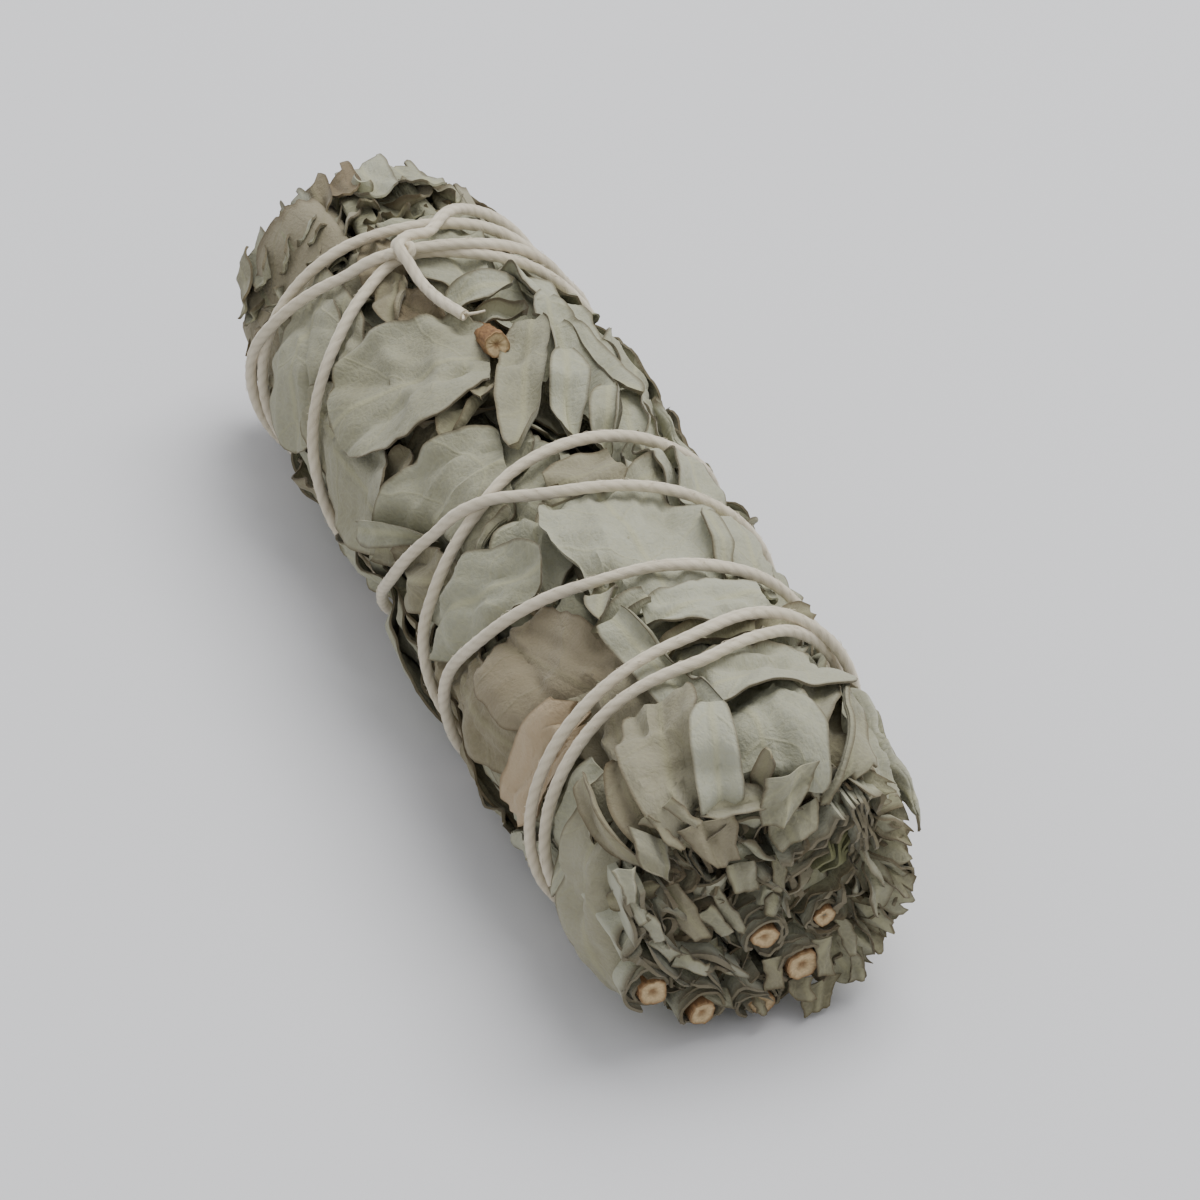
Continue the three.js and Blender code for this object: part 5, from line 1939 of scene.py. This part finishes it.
# Leaves that show on the near end, from the lowest up.
FACE_PLATES: tuple[FacePlate, ...] = (
    # to the right and below: a fan of pressed tips
    FacePlate((54.5, 8.5, 6), (58.6, 15.8, 4.2), 5, 601, roll=-25, ragged=0.12, tint=0.25, warm=0.15),
    FacePlate((55, 9, 3.4), (59.2, 16.6, 0.6), 4.6, 602, roll=-30, ragged=0.14, tint=0.3),
    FacePlate((55, 9.5, 0.8), (58.8, 17.2, -2.6), 4.8, 603, roll=-20, ragged=0.14, tint=0.2, warm=0.2),
    FacePlate((55.5, 9.2, -1.6), (59.4, 16.8, -6.2), 4.8, 604, roll=-15, ragged=0.14, tint=0.35),
    FacePlate((55, 9, -4), (58.8, 15.6, -9.6), 4.6, 605, roll=-10, ragged=0.14, tint=0.25),
    FacePlate((56, 8.4, -6.5), (59.6, 13.4, -12.6), 4.6, 606, ragged=0.12, tint=0.4),
    FacePlate((56.5, 7, -9), (59.6, 10.6, -15), 4.6, 607, roll=10, ragged=0.12, tint=0.3),
    FacePlate((58.4, 9.4, 4.6), (59.8, 12.4, -2.4), 3.6, 608, roll=25, tint=0.35, fold=0.3),
    FacePlate((58.6, 10.8, 1), (60, 12, -6), 3.4, 609, roll=-35, tint=0.45),
    FacePlate((54.5, 7.6, 9), (58.4, 14.6, 8.2), 4, 640, roll=-40, ragged=0.16, tint=0.3),
    FacePlate((56.6, 10.6, 7), (59.6, 15, 5.6), 2.6, 641, roll=40, ragged=0.16),
    FacePlate((56.8, 11.4, 4.4), (59.8, 15.8, 2.4), 2.6, 642, roll=-55, ragged=0.16, tint=0.1, warm=0.3),
    FacePlate((56.8, 11.6, 1.6), (60, 16.4, -1), 2.8, 643, roll=45, ragged=0.16, tint=0.4),
    FacePlate((57, 11.4, -1), (60.2, 16, -4.6), 2.6, 644, roll=-50, ragged=0.16, tint=0.2, warm=0.2),
    FacePlate((57, 11, -3.6), (60.2, 14.8, -8), 2.8, 645, roll=45, ragged=0.16, tint=0.4),
    FacePlate((57.4, 10, -6.4), (60.4, 12.6, -11.4), 2.6, 646, roll=-40, ragged=0.16, tint=0.15, warm=0.2),
)


def scattered_plates(end: End, count: int, seed: int) -> list[FacePlate]:
    """Small crumpled pieces of leaf that fill a trimmed end between the larger ones.

    Args:
        end: which end.
        count: how many places are tried.
        seed: seed of their draws.

    Returns:
        The pieces that lie clear of stems and tuft.
    """
    rnd = np.random.RandomState(seed)
    out = []
    for k in range(count):
        far = 13.8 * math.sqrt((k + 0.5) / count)
        way = math.radians(GOLDEN_TURN * k)
        y, z = -1.1 + far * math.sin(way), far * math.cos(way)
        turn = rnd.uniform(0, 2 * math.pi)
        length, wide = rnd.uniform(4, 8.5), rnd.uniform(2.2, 4.6)
        roll = rnd.choice((-1, 1)) * rnd.uniform(20, 72)
        out_by = 0.8 if end is End.FAR else -1.6
        x = FORM.face_x + rnd.uniform(0.4, 2.6) - 1.4 * smooth((far - 12) / 4) + out_by
        dy, dz = 0.5 * length * math.cos(turn), 0.5 * length * math.sin(turn)
        lean, tint, warm = rnd.uniform(-0.9, 0.9), rnd.uniform(0.25, 0.95), max(0.0, rnd.uniform(-0.5, 0.6))
        on_stem = any(
            math.hypot(y - stem.cut[1], z - stem.cut[2]) < stem.radius + STEM_ROOM
            for stem in STEMS if stem.cut[0] * end.value > 0
        )
        on_tuft = end is End.NEAR and math.hypot(y - GreenTuft.y, z - GreenTuft.z) < GREEN_ROOM
        if on_stem or on_tuft:
            continue
        base, tip = (end.value * (x - lean), y - dy, z - dz), (end.value * (x + lean), y + dy, z + dz)
        out.append(FacePlate(
            base, tip, wide, seed + k, roll, ruffle=0.5, fold=0.3 if k % 3 == 0 else 0.0, tint=tint,
            warm=warm, ragged=0.1,
        ))
    return out


# Rows of ruffled edges on the near end: course, rows, gap, size of the ruffles, place of the edge.
RUFFLES: tuple[tuple[tuple[tuple[float, float], ...], int, float, float, float], ...] = (
    (
        ((-16.5, 6.5), (-16.0, 2.0), (-13.0, -3.5), (-9.5, -7.5), (-5.5, -9.5), (-2.0, -11.0)),
        5, 0.95, 1.7, 61.2,
    ),
    (((-13.5, 2.0), (-11.5, -1.5), (-8.5, -5.5), (-5.0, -7.5)), 2, 0.9, 1.7, 61.4),
    (((9.5, 11.0), (10.0, 8.5), (10.0, 6.0), (10.0, 3.5)), 6, 0.5, 0.35, 60.6),
    (((1.5, 4.5), (4.5, 6.0), (7.0, 9.0)), 4, 0.8, 0.5, 60.2),
    (((-2.0, 3.5), (0.5, 1.0), (2.0, -1.5)), 3, 0.7, 1.0, 60.6),
)


@dataclass
class TrimmedEnd:
    """One end of the bunch: the crumpled edges of folded leaves between the stems."""

    end: End
    seed: int
    scattered: int           # small pieces between the larger ones
    spacing: float = 1.0
    base_x: float = 49.0
    thick: float = 0.34
    rows: int = 12           # of points in a strip, from inside the bunch to its edge

    def cells(self) -> list[tuple[str, Array]]:
        """Outline of each sprig's share of the end, as (node, points (n, 2) from the axis).

        Returns:
            One outline for each sprig.
        """
        side = self.end.value
        middle, r = FORM.section(side * SECTION_X)
        out = []
        for node in SPRIGS:
            first, last = sprig_span(node, side * SECTION_X)
            a = np.radians(np.linspace(first, last, 14))
            outer = np.stack([middle + (r - 1.4) * np.sin(a), (r - 1.4) * np.cos(a)], -1)
            hub = np.array([FORM.hub_y, FORM.hub_z])
            b = np.radians(np.linspace(last, first, 5))
            inner = hub + FORM.hub_r * np.stack([np.sin(b), np.cos(b)], -1)
            out.append((node, np.concatenate([outer, inner])))
        a = np.radians(np.arange(0, 360, 20))
        ring = np.array([FORM.hub_y, FORM.hub_z]) + (FORM.hub_r - 0.3) * np.stack([np.sin(a), np.cos(a)], -1)
        out.append(("leaves_middle", ring))
        return out

    def pushed(self, y: Array, z: Array) -> tuple[Array, Array]:
        """Places moved out of the way of the stems.

        Args:
            y: distances from the axis.
            z: the same, upwards.

        Returns:
            The moved y and z.
        """
        for stem in STEMS:
            if stem.cut[0] * self.end.value < 0:
                continue
            cy, cz = stem.cut[1], stem.cut[2]
            dy, dz = y - cy, z - cz
            d = np.maximum(0.05, np.hypot(dy, dz))
            gain = (stem.radius + 0.25) * np.exp(-d / (stem.radius * 1.6)) / d
            y, z = y + dy * gain, z + dz * gain
        return y, z

    def add_to(self, shells: Shells) -> None:
        """Add the folded edges to the pieces of the sprigs.

        Args:
            shells: the pieces of the sprigs.
        """
        rnd = np.random.RandomState(self.seed)
        crumple = Crumple(self.seed + 1)
        for node, outline in self.cells():
            closed = resampled(outline, 240)
            centre = closed.mean(0)
            size = float(np.linalg.norm(closed - centre, axis=1).mean())
            levels = np.arange(0.14, 1.0, self.spacing / size)
            swirl = rnd.uniform(-0.4, 0.4)
            for q in levels:
                ring = centre + (closed - centre) * q
                ring = rolled_smooth(ring, int(4 + 26 * (1 - q)))
                turn = swirl * (1 - q) * 2
                c, d = math.cos(turn), math.sin(turn)
                ring = centre + (ring - centre) @ np.array([[c, -d], [d, c]])
                self.add_ring(shells.setdefault(node, Shell()), ring, crumple, rnd)
        self.add_collars(shells, rnd)
        for plate in scattered_plates(self.end, self.scattered, self.seed * 10):
            plate.add_to(shells)
        if self.end is End.NEAR:
            self.add_ruffles(shells, rnd)
            for plate in (*FACE_PLATES, *TORN_PLATES, *CURLED_SCRAPS):
                plate.add_to(shells)

    def add_collars(self, shells: Shells, rnd: Draws) -> None:
        """Add small leaves curled round each cut stem, up to just under its cut.

        Args:
            shells: the pieces of the sprigs.
            rnd: seeded draws.
        """
        for stem in STEMS:
            if stem.cut[0] * self.end.value < 0:
                continue
            for k in (0, 1, 2):
                span = rnd.uniform(3.6, 4.8)
                start = (-0.45 if k < 2 else rnd.uniform(0, 6.3)) - 0.5 * span + rnd.uniform(-0.5, 0.5)
                a = start + np.arange(0, span, 0.3 / (stem.radius + 0.5 + 0.6 * k))
                reach = stem.radius + 0.3 + 0.5 * k + 0.2 * np.sin(2.3 * a + k)
                line = np.stack([stem.cut[1] + reach * np.sin(a), stem.cut[2] + reach * np.cos(a)], -1)
                bend = Crumple(int(rnd.randint(1000)), 0.15)
                level = abs(stem.cut[0]) - 0.2 - 0.3 * k + rnd.uniform(-0.3, 0.2)
                shell = shells.setdefault(face_node(stem.cut[1], stem.cut[2]), Shell())
                self.add_strip(shell, line, bend, rnd, level, pushed=False, torn=0.45)

    def add_ruffles(self, shells: Shells, rnd: Draws) -> None:
        """Add the rows of ruffled edges that show on the near end.

        Args:
            shells: the pieces of the sprigs.
            rnd: seeded draws.
        """
        for course, rows, gap, size, level in RUFFLES:
            flat = centripetal(np.array(course, dtype=float), 40)
            run = run_length(flat)
            at = np.arange(0, run[-1], 0.3)
            line = np.stack([np.interp(at, run, flat[:, i]) for i in (0, 1)], -1)
            normal = square_to(line)
            bend = Crumple(int(rnd.randint(1000)), size)
            for k in range(rows):
                own = 0.4 * size * soft_row(at / (at[-1] + 1e-6), at[-1] / 1.7, rnd)
                shifted = line + normal * ((k - 0.5 * (rows - 1)) * gap + own)[:, None]
                shell = shells.setdefault(face_node(*shifted.mean(0)), Shell())
                self.add_strip(shell, shifted, bend, rnd, level + rnd.uniform(-0.7, 0.5))

    def add_ring(self, shell: Shell, ring: Array, crumple: Crumple, rnd: Draws) -> None:
        """Add a ring of folded leaf as one to three strips with gaps between them.

        Args:
            shell: piece that it is added to.
            ring: closed course (n, 2).
            crumple: common bend of the end.
            rnd: seeded draws.
        """
        length = float(np.linalg.norm(ring - np.roll(ring, -1, axis=0), axis=1).sum())
        strips = 1 if length < 9 else rnd.randint(1, 4)
        starts = np.sort(rnd.rand(strips)) * len(ring)
        for k in range(strips):
            begin = starts[k]
            until = starts[(k + 1) % strips] + (len(ring) if k == strips - 1 else 0)
            count = max(5, int((until - begin) / len(ring) * length / 0.45))
            at = np.linspace(begin, until - len(ring) * 0.5 / length, count)
            twice = np.concatenate([ring, ring, ring[:1]])
            line = np.stack([np.interp(at, np.arange(len(twice)), twice[:, i]) for i in (0, 1)], -1)
            self.add_strip(shell, line, crumple, rnd)

    def add_strip(
        self, shell: Shell, line: Array, crumple: Crumple, rnd: Draws,
        level: float | None = None, pushed: bool = True, torn: float = 1.0,
    ) -> None:
        """Add one strip of leaf standing in the end, with a torn outer edge.

        Args:
            shell: piece that it is added to.
            line: its course (n, 2) before crumpling.
            crumple: common bend of the end.
            rnd: seeded draws.
            level: place of its outer edge along the bunch, or None for one of the draws.
            pushed: whether it gives way to the stems.
            torn: depth of the tears in its outer edge, as a factor.
        """
        side = self.end.value
        n = len(line)
        run = run_length(line)
        middle, r = FORM.section(side * SECTION_X)
        out = np.hypot(line[:, 0] - middle, line[:, 1])
        around = np.degrees(np.arctan2(line[:, 0] - middle, line[:, 1]))
        bend = FORM.bend(np.full(n, float(side)), around)
        drawn = FORM.face_x + (rnd.uniform(-0.6, 2.6) if side > 0 else rnd.uniform(1.2, 4.4))
        level, filling = (drawn, 1.0) if level is None else (level, 0.0)
        knots = np.arange(0, run[-1] + 2.2, 1.1)
        jag = 0.7 * soft_row(run / (run[-1] + 1e-6), len(knots), rnd)
        knots = np.arange(0, run[-1] + 5, 3.5)
        jag = jag + np.interp(run, knots, rnd.uniform(-1.2, 0.9, len(knots)))
        top_x = level + torn * jag
        # under leaves that bend over the rim the edges stay lower
        room = FORM.face_x - 1.6 - 2.6 * smooth((out - (r - 5.5)) / 3.0)
        hidden = filling * smooth((out - (r - 8.5)) / 2.5) * smooth((bend - 0.3) / 0.5)
        top_x = top_x * (1 - hidden) + np.minimum(top_x, room) * hidden
        share = np.linspace(0, 1, self.rows)[:, None] ** 0.8
        x = self.base_x + (top_x[None] - self.base_x) * share
        lean = rnd.uniform(-0.5, 0.5) * share ** 3
        normal = square_to(line)
        grids = []
        for offset in (0.5 * self.thick, -0.5 * self.thick):
            y = line[None, :, 0] + normal[None, :, 0] * (offset + lean)
            z = line[None, :, 1] + normal[None, :, 1] * (offset + lean)
            y, z = crumple(y, z, np.broadcast_to(share, x.shape))
            if pushed:
                y, z = self.pushed(y, z)
            grids.append(np.stack([side * x, y, FORM.pressed(FORM.axis_z + z)], -1))
        # Strips with a given level, the ruffles and the collars, are tinted 0.6 paler: painted light that
        # offsets the shade in the near end's hollows.
        tint = rnd.uniform(0.0, 0.95) + 0.6 * (1 - filling)
        warm = max(0.0, rnd.uniform(-0.45, 0.6)) * (0.4 + 0.6 * filling)
        spot = np.stack([
            x - self.base_x + 30 * rnd.rand(), np.broadcast_to(run[None] + 3, x.shape),
            np.full(x.shape, rnd.uniform(0, 90)),
        ], -1)
        # the torn outer edge of each strip takes the darker rim: browned margin and painted shade together
        shell.add_sheet(*grids, spot, look_values(tint, warm, np.broadcast_to(share, x.shape) ** 5))


def resampled(points: Array, count: int) -> Array:
    """Closed outline as equally spaced points.

    Args:
        points: the outline (n, 2).
        count: how many points to give.

    Returns:
        Array (count, 2).
    """
    closed = np.concatenate([points, points[:1]])
    run = run_length(closed)
    at = np.linspace(0, run[-1], count, endpoint=False)
    return np.stack([np.interp(at, run, closed[:, i]) for i in (0, 1)], -1)


def rolled_smooth(points: Array, reach: int) -> Array:
    """Closed outline smoothed over a number of points.

    Args:
        points: the outline (n, 2).
        reach: how many on each side.

    Returns:
        The smoothed outline.
    """
    kernel = np.hanning(2 * reach + 3)[1:-1]
    kernel /= kernel.sum()
    padded = np.concatenate([points[-reach:], points, points[:reach]])
    return np.stack([np.convolve(padded[:, i], kernel, mode="valid") for i in (0, 1)], -1)


# Sprigs and stems


CORE_SPOT = np.array([3.0, 3.0, 5.0])
# Painted shade: the core is tinted dark and brown, as it shows only through gaps where shade falls.
CORE_SHADE_LOOK = np.array([-0.6, 0.5, 0.2])   # dark, because it shows only through gaps


@dataclass
class LeafySprigs:
    """The outer sprigs and the middle one, with all their leaves."""

    string: StringWinding      # draws the leaves in
    fillers: int = 110         # leaves under the ones that show
    hidden_leaves: int = 46    # leaves on the sides that don't face the camera
    far_tips: int = 64
    core_end: float = 52.5
    core_step: float = 3.0
    pile: LeafPile = field(default_factory=LeafPile)
    shells: Shells = field(default_factory=dict)

    def add_cores(self) -> None:
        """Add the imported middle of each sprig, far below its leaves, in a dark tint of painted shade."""
        stations = np.arange(-self.core_end, self.core_end + 0.1, self.core_step)
        drop = LeafPile.DEPTH + 0.5
        for node in SPRIGS:
            rings = []
            for x in stations:
                first, last = sprig_span(node, float(x))
                a = np.radians(np.linspace(first, last, 12))
                middle, r = FORM.section(x)
                outer = np.stack([
                    np.full(12, x), middle + (r - drop) * np.sin(a),
                    FORM.pressed(FORM.axis_z + (r - drop) * np.cos(a)),
                ], -1)
                b = np.radians(np.array([last, first]))
                inner = np.stack([
                    np.full(2, x), FORM.hub_y + FORM.hub_r * np.sin(b),
                    FORM.axis_z + FORM.hub_z + FORM.hub_r * np.cos(b),
                ], -1)
                rings.append(np.concatenate([outer, inner]))
            self.shells.setdefault(node, Shell()).add_loft(np.array(rings), CORE_SPOT, CORE_SHADE_LOOK)
        a = np.radians(np.arange(0, 360, 30))
        r = FORM.hub_r - 0.2
        ring = np.stack([FORM.hub_y + r * np.sin(a), FORM.axis_z + FORM.hub_z + r * np.cos(a)], -1)
        rings = np.array([np.concatenate([np.full((12, 1), x), ring], 1) for x in stations])
        self.shells.setdefault("leaves_middle", Shell()).add_loft(rings, CORE_SPOT, CORE_SHADE_LOOK)

    def build(self, felt: bpy.types.Material, tan: bpy.types.Material) -> list[bpy.types.Object]:
        """Lay every leaf, settle the pile and make one piece for each sprig.

        Args:
            felt: finish of the sage leaves.
            tan: finish of the browned leaf.

        Returns:
            The pieces.
        """
        ruled = [leaf for side in RULED_SIDES for leaf in ruled_leaves(*side)]
        facing = [replace(leaf, step=0.5) for leaf in FACING_LEAVES]
        for leaf in (
            *filler_leaves(self.fillers), *ruled, UNDERSIDE_LEAF, *hidden_side_leaves(self.hidden_leaves),
            *facing, *end_tips(self.far_tips), *FAR_TIPS,
        ):
            self.pile.lay(leaf)
        self.pile.lay(BROWNED_LEAF, "leaf_tan")
        self.pile.settle(self.string)
        self.pile.add_to(self.shells)
        self.add_cores()
        for end in (TrimmedEnd(End.NEAR, 301, 60), TrimmedEnd(End.FAR, 401, 110)):
            end.add_to(self.shells)
        pieces = []
        for node, shell in self.shells.items():
            browned = node == "leaf_tan"
            piece = shell.to_object(f"{node}_dried", tan if browned else felt)
            pieces.append(dress(piece, Slot.TAN if browned else Slot.SAGE, node))
        return pieces


# Rings of a cut from its edge to the middle: share of the radius, depth and nearness to the pith.
CUT_RINGS: tuple[Point, ...] = (
    (0.94, -0.12, 0.9), (0.82, -0.06, 0.35), (0.7, 0.0, 0.0),
    (0.45, 0.06, 0.05), (0.26, 0.16, 0.5), (0.1, 0.3, 0.8),
)


@dataclass
class CutStems:
    """The cut stems and the side twig, with bark, bare cut wood and a sunken pith."""

    sides: int = 28
    inner_share: float = 0.75                                 # radius at the hidden end over that at the cut
    twig_cut: Point = (-18.8, -5, 0.9)   # on the surface, round it and over it
    twig_hidden: Point = (-32, 2, -5.5)
    twig_radii: tuple[float, float] = (1.5, 1.3)

    def add_rod(self, shell: Shell, cut: Array, hidden: Array, r_cut: float, r_in: float, seed: int) -> None:
        """Add one stem.

        Args:
            shell: piece that it is added to.
            cut: middle of its cut end.
            hidden: middle of its hidden end.
            r_cut: radius at the cut end.
            r_in: radius at the hidden end.
            seed: seed of its unevenness.
        """
        rnd = np.random.RandomState(seed)
        along = cut - hidden
        length = float(np.linalg.norm(along))
        along /= length
        up = np.array([0.0, 0.0, 1.0]) - along * along[2]
        up /= np.linalg.norm(up)
        aside = np.cross(along, up)
        w = 2 * np.pi * np.arange(self.sides) / self.sides
        near = np.arange(0, 14, 0.4)
        run = np.concatenate([near, np.arange(14, length, 5.0), [length]])[::-1]
        square = 1 + 0.05 * np.cos(4 * w + rnd.uniform(0, 6.3))
        ridge = sum(rnd.uniform(0.01, 0.03) * np.cos(k * w + rnd.uniform(0, 6.3)) for k in (3, 7, 9, 12))
        rings, looks, spots = [], [], []
        for d in run:
            r = r_in + (r_cut - r_in) * (1 - d / length)
            bumps = 0.02 * np.sin(d * 2.1 + 2 * w) + 0.02 * np.sin(d * 0.9 - 3 * w)
            rings.append((d, r * (square + ridge + bumps), 0.0, 0.0))
        rough = rnd.uniform(-0.16, 0.16, self.sides)
        for share, sink, pith in CUT_RINGS:
            depth = sink + 0.6 * rough * (1 if share > 0.4 else 0.4)
            rings.append((depth, r_cut * share * (square + ridge), 1.0, pith))
        slant = rnd.uniform(-0.18, 0.18, 2)
        points = []
        for d, r, bare, pith in rings:
            side = np.cos(w) * r, np.sin(w) * r
            tilt = (slant[0] * side[0] + slant[1] * side[1]) * np.exp(-np.maximum(0, np.asarray(d)) / 2.0)
            back = np.broadcast_to(np.asarray(d, float), w.shape) + tilt
            points.append(cut - back[:, None] * along + side[0][:, None] * up + side[1][:, None] * aside)
            looks.append(look_values(0.5, bare, np.full(w.shape, pith)))
            spots.append(np.stack([back, r * np.cos(w) + seed, r * np.sin(w)], -1))
        shell.add_loft(np.array(points), np.array(spots), np.array(looks))

    def build(self, wood: bpy.types.Material) -> list[bpy.types.Object]:
        """Make every stem and the twig.

        Args:
            wood: finish of the stems.

        Returns:
            The pieces.
        """
        rods = [
            (stem.node, *stem.ends(), stem.radius, stem.radius * self.inner_share, 50 + k)
            for k, stem in enumerate(STEMS)
        ]
        twig_ends = FORM.place(*self.twig_cut), FORM.place(*self.twig_hidden)
        rods.append(("twig", *twig_ends, *self.twig_radii, 71))
        pieces = []
        for node, *rod in rods:
            shell = Shell()
            self.add_rod(shell, *rod)
            pieces.append(dress(shell.to_object(f"{node}_wood", wood), Slot.STEM, node))
        return pieces


@dataclass
class GreenTuft:
    """Small tuft of greener young leaves, folded tight, in the near end."""

    y: float = 7.0
    z: float = 3.6
    turn: float = 24.0
    base_x: float = 46.0
    thick: float = 0.32
    cols: int = 17
    rows: int = 22
    offsets: tuple[float, ...] = (-1.7, -1.0, -0.35, 0.3, 0.95, 1.6)   # of the leaves from its middle

    def build(self, finish: bpy.types.Material) -> bpy.types.Object:
        """Make the tuft and dress it.

        Args:
            finish: material of the young leaves.

        Returns:
            The piece.
        """
        rnd = np.random.RandomState(97)
        shell = Shell()
        c, d = math.cos(math.radians(self.turn)), math.sin(math.radians(self.turn))
        t = np.linspace(-1, 1, self.cols)[None]
        u = np.linspace(0, 1, self.rows)[:, None]
        for k, offset in enumerate(self.offsets):
            tip = 61.2 - 0.3 * k + rnd.uniform(-0.5, 0.5) - 1.3 * t ** 2 + 0.25 * np.sin(5 * t + k)
            x = self.base_x + (tip - self.base_x) * u
            height = t * (3.3 - 0.5 * u ** 2) * (1 - 0.12 * abs(k - 2.5))
            side = offset + 0.3 * np.sin(3.1 * t + 0.7 * k + 1.2 * u) + 0.25 * u ** 3 * (k - 2.5) * 0.4
            faces = []
            for off in (0.5 * self.thick, -0.5 * self.thick):
                y = side + off
                faces.append(np.stack([
                    x, self.y + y * c + height * d, FORM.axis_z + self.z - y * d + height * c,
                ], -1))
            spot = np.stack([x, height, np.full(x.shape, k * 3)], -1)
            look = look_values(rnd.uniform(0.3, 0.8), rnd.uniform(0, 0.3), np.broadcast_to(u, x.shape))
            shell.add_sheet(*faces, spot, look)
        return dress(shell.to_object("leaves_green_young", finish), Slot.GREEN, "leaves_green")


# Studio


@dataclass
class Studio:
    """Pale floor, soft light and the camera at the photograph's angle."""

    camera_at: Point = (530.7, -212.8, 432.6)
    right: Point = (0.3624, 0.9318, 0.0232)
    up: Point = (-0.5605, 0.1980, 0.8041)
    lens: float = 190.2
    sensor: float = 36.0
    shift_x: float = 0.0005
    shift_y: float = 0.0206
    floor_size: float = 3.0
    light_from: Point = (-0.2, 0.4, 1.05)   # in metres
    light_size: float = 0.8
    light_watts: float = 13.0
    room: str = "#f3f4f7"
    room_strength: float = 0.78

    def add_camera(self) -> None:
        """Camera where the photograph was taken from."""
        data = bpy.data.cameras.new("camera")
        data.lens, data.sensor_width = self.lens, self.sensor
        data.shift_x, data.shift_y = self.shift_x, self.shift_y
        data.clip_start, data.clip_end = 0.01, 20.0
        camera = bpy.data.objects.new("camera", data)
        right, up = Vector(self.right).normalized(), Vector(self.up).normalized()
        back = right.cross(up)
        turned_by = Matrix((right, up, back)).transposed().to_4x4()
        camera.matrix_world = Matrix.Translation(Vector(self.camera_at) * MM) @ turned_by
        bpy.context.scene.collection.objects.link(camera)
        bpy.context.scene.camera = camera

    def add_floor(self) -> None:
        """Plain pale floor."""
        half = self.floor_size / 2
        mesh = bpy.data.meshes.new("floor")
        corners = [(-half, -half, 0), (half, -half, 0), (half, half, 0), (-half, half, 0)]
        mesh.from_pydata(corners, [], [(0, 1, 2, 3)])
        floor = bpy.data.objects.new("floor", mesh)
        mesh.materials.append(PaleCard().build())
        bpy.context.scene.collection.objects.link(floor)

    def add_light(self) -> None:
        """Large soft light from the right and behind, with a bright grey-white room."""
        data = bpy.data.lights.new("window", "AREA")
        data.shape, data.size, data.energy = "SQUARE", self.light_size, self.light_watts
        light = bpy.data.objects.new("window", data)
        way = Vector(self.light_from)
        light.location = way
        light.rotation_mode = "QUATERNION"
        light.rotation_quaternion = (-way).to_track_quat("-Z", "Y")
        bpy.context.scene.collection.objects.link(light)
        world = bpy.data.worlds.new("room")
        world.use_nodes = True
        tree = world.node_tree
        tree.nodes.clear()
        sky = add_node(tree, "Background", {"Color": linear(self.room), "Strength": self.room_strength})
        add_node(tree, "OutputWorld", {"Surface": sky})
        bpy.context.scene.world = world


def main() -> None:
    """Build the studio and the bunch, and report each piece."""
    logging.basicConfig(level=logging.INFO, format="%(message)s")
    studio = Studio()
    studio.add_camera()
    studio.add_floor()
    studio.add_light()
    string = StringWinding()
    pieces = LeafySprigs(string).build(SAGE_FELT.build(), TAN_FELT.build())
    pieces += CutStems().build(StemWood().build())
    pieces.append(GreenTuft().build(YOUNG_LEAF.build()))
    pieces.append(string.build(CottonYarn().build()))
    for piece in pieces:
        LOG.info("%s: %d faces", piece.name, len(piece.data.polygons))


if __name__ == "__main__":
    main()
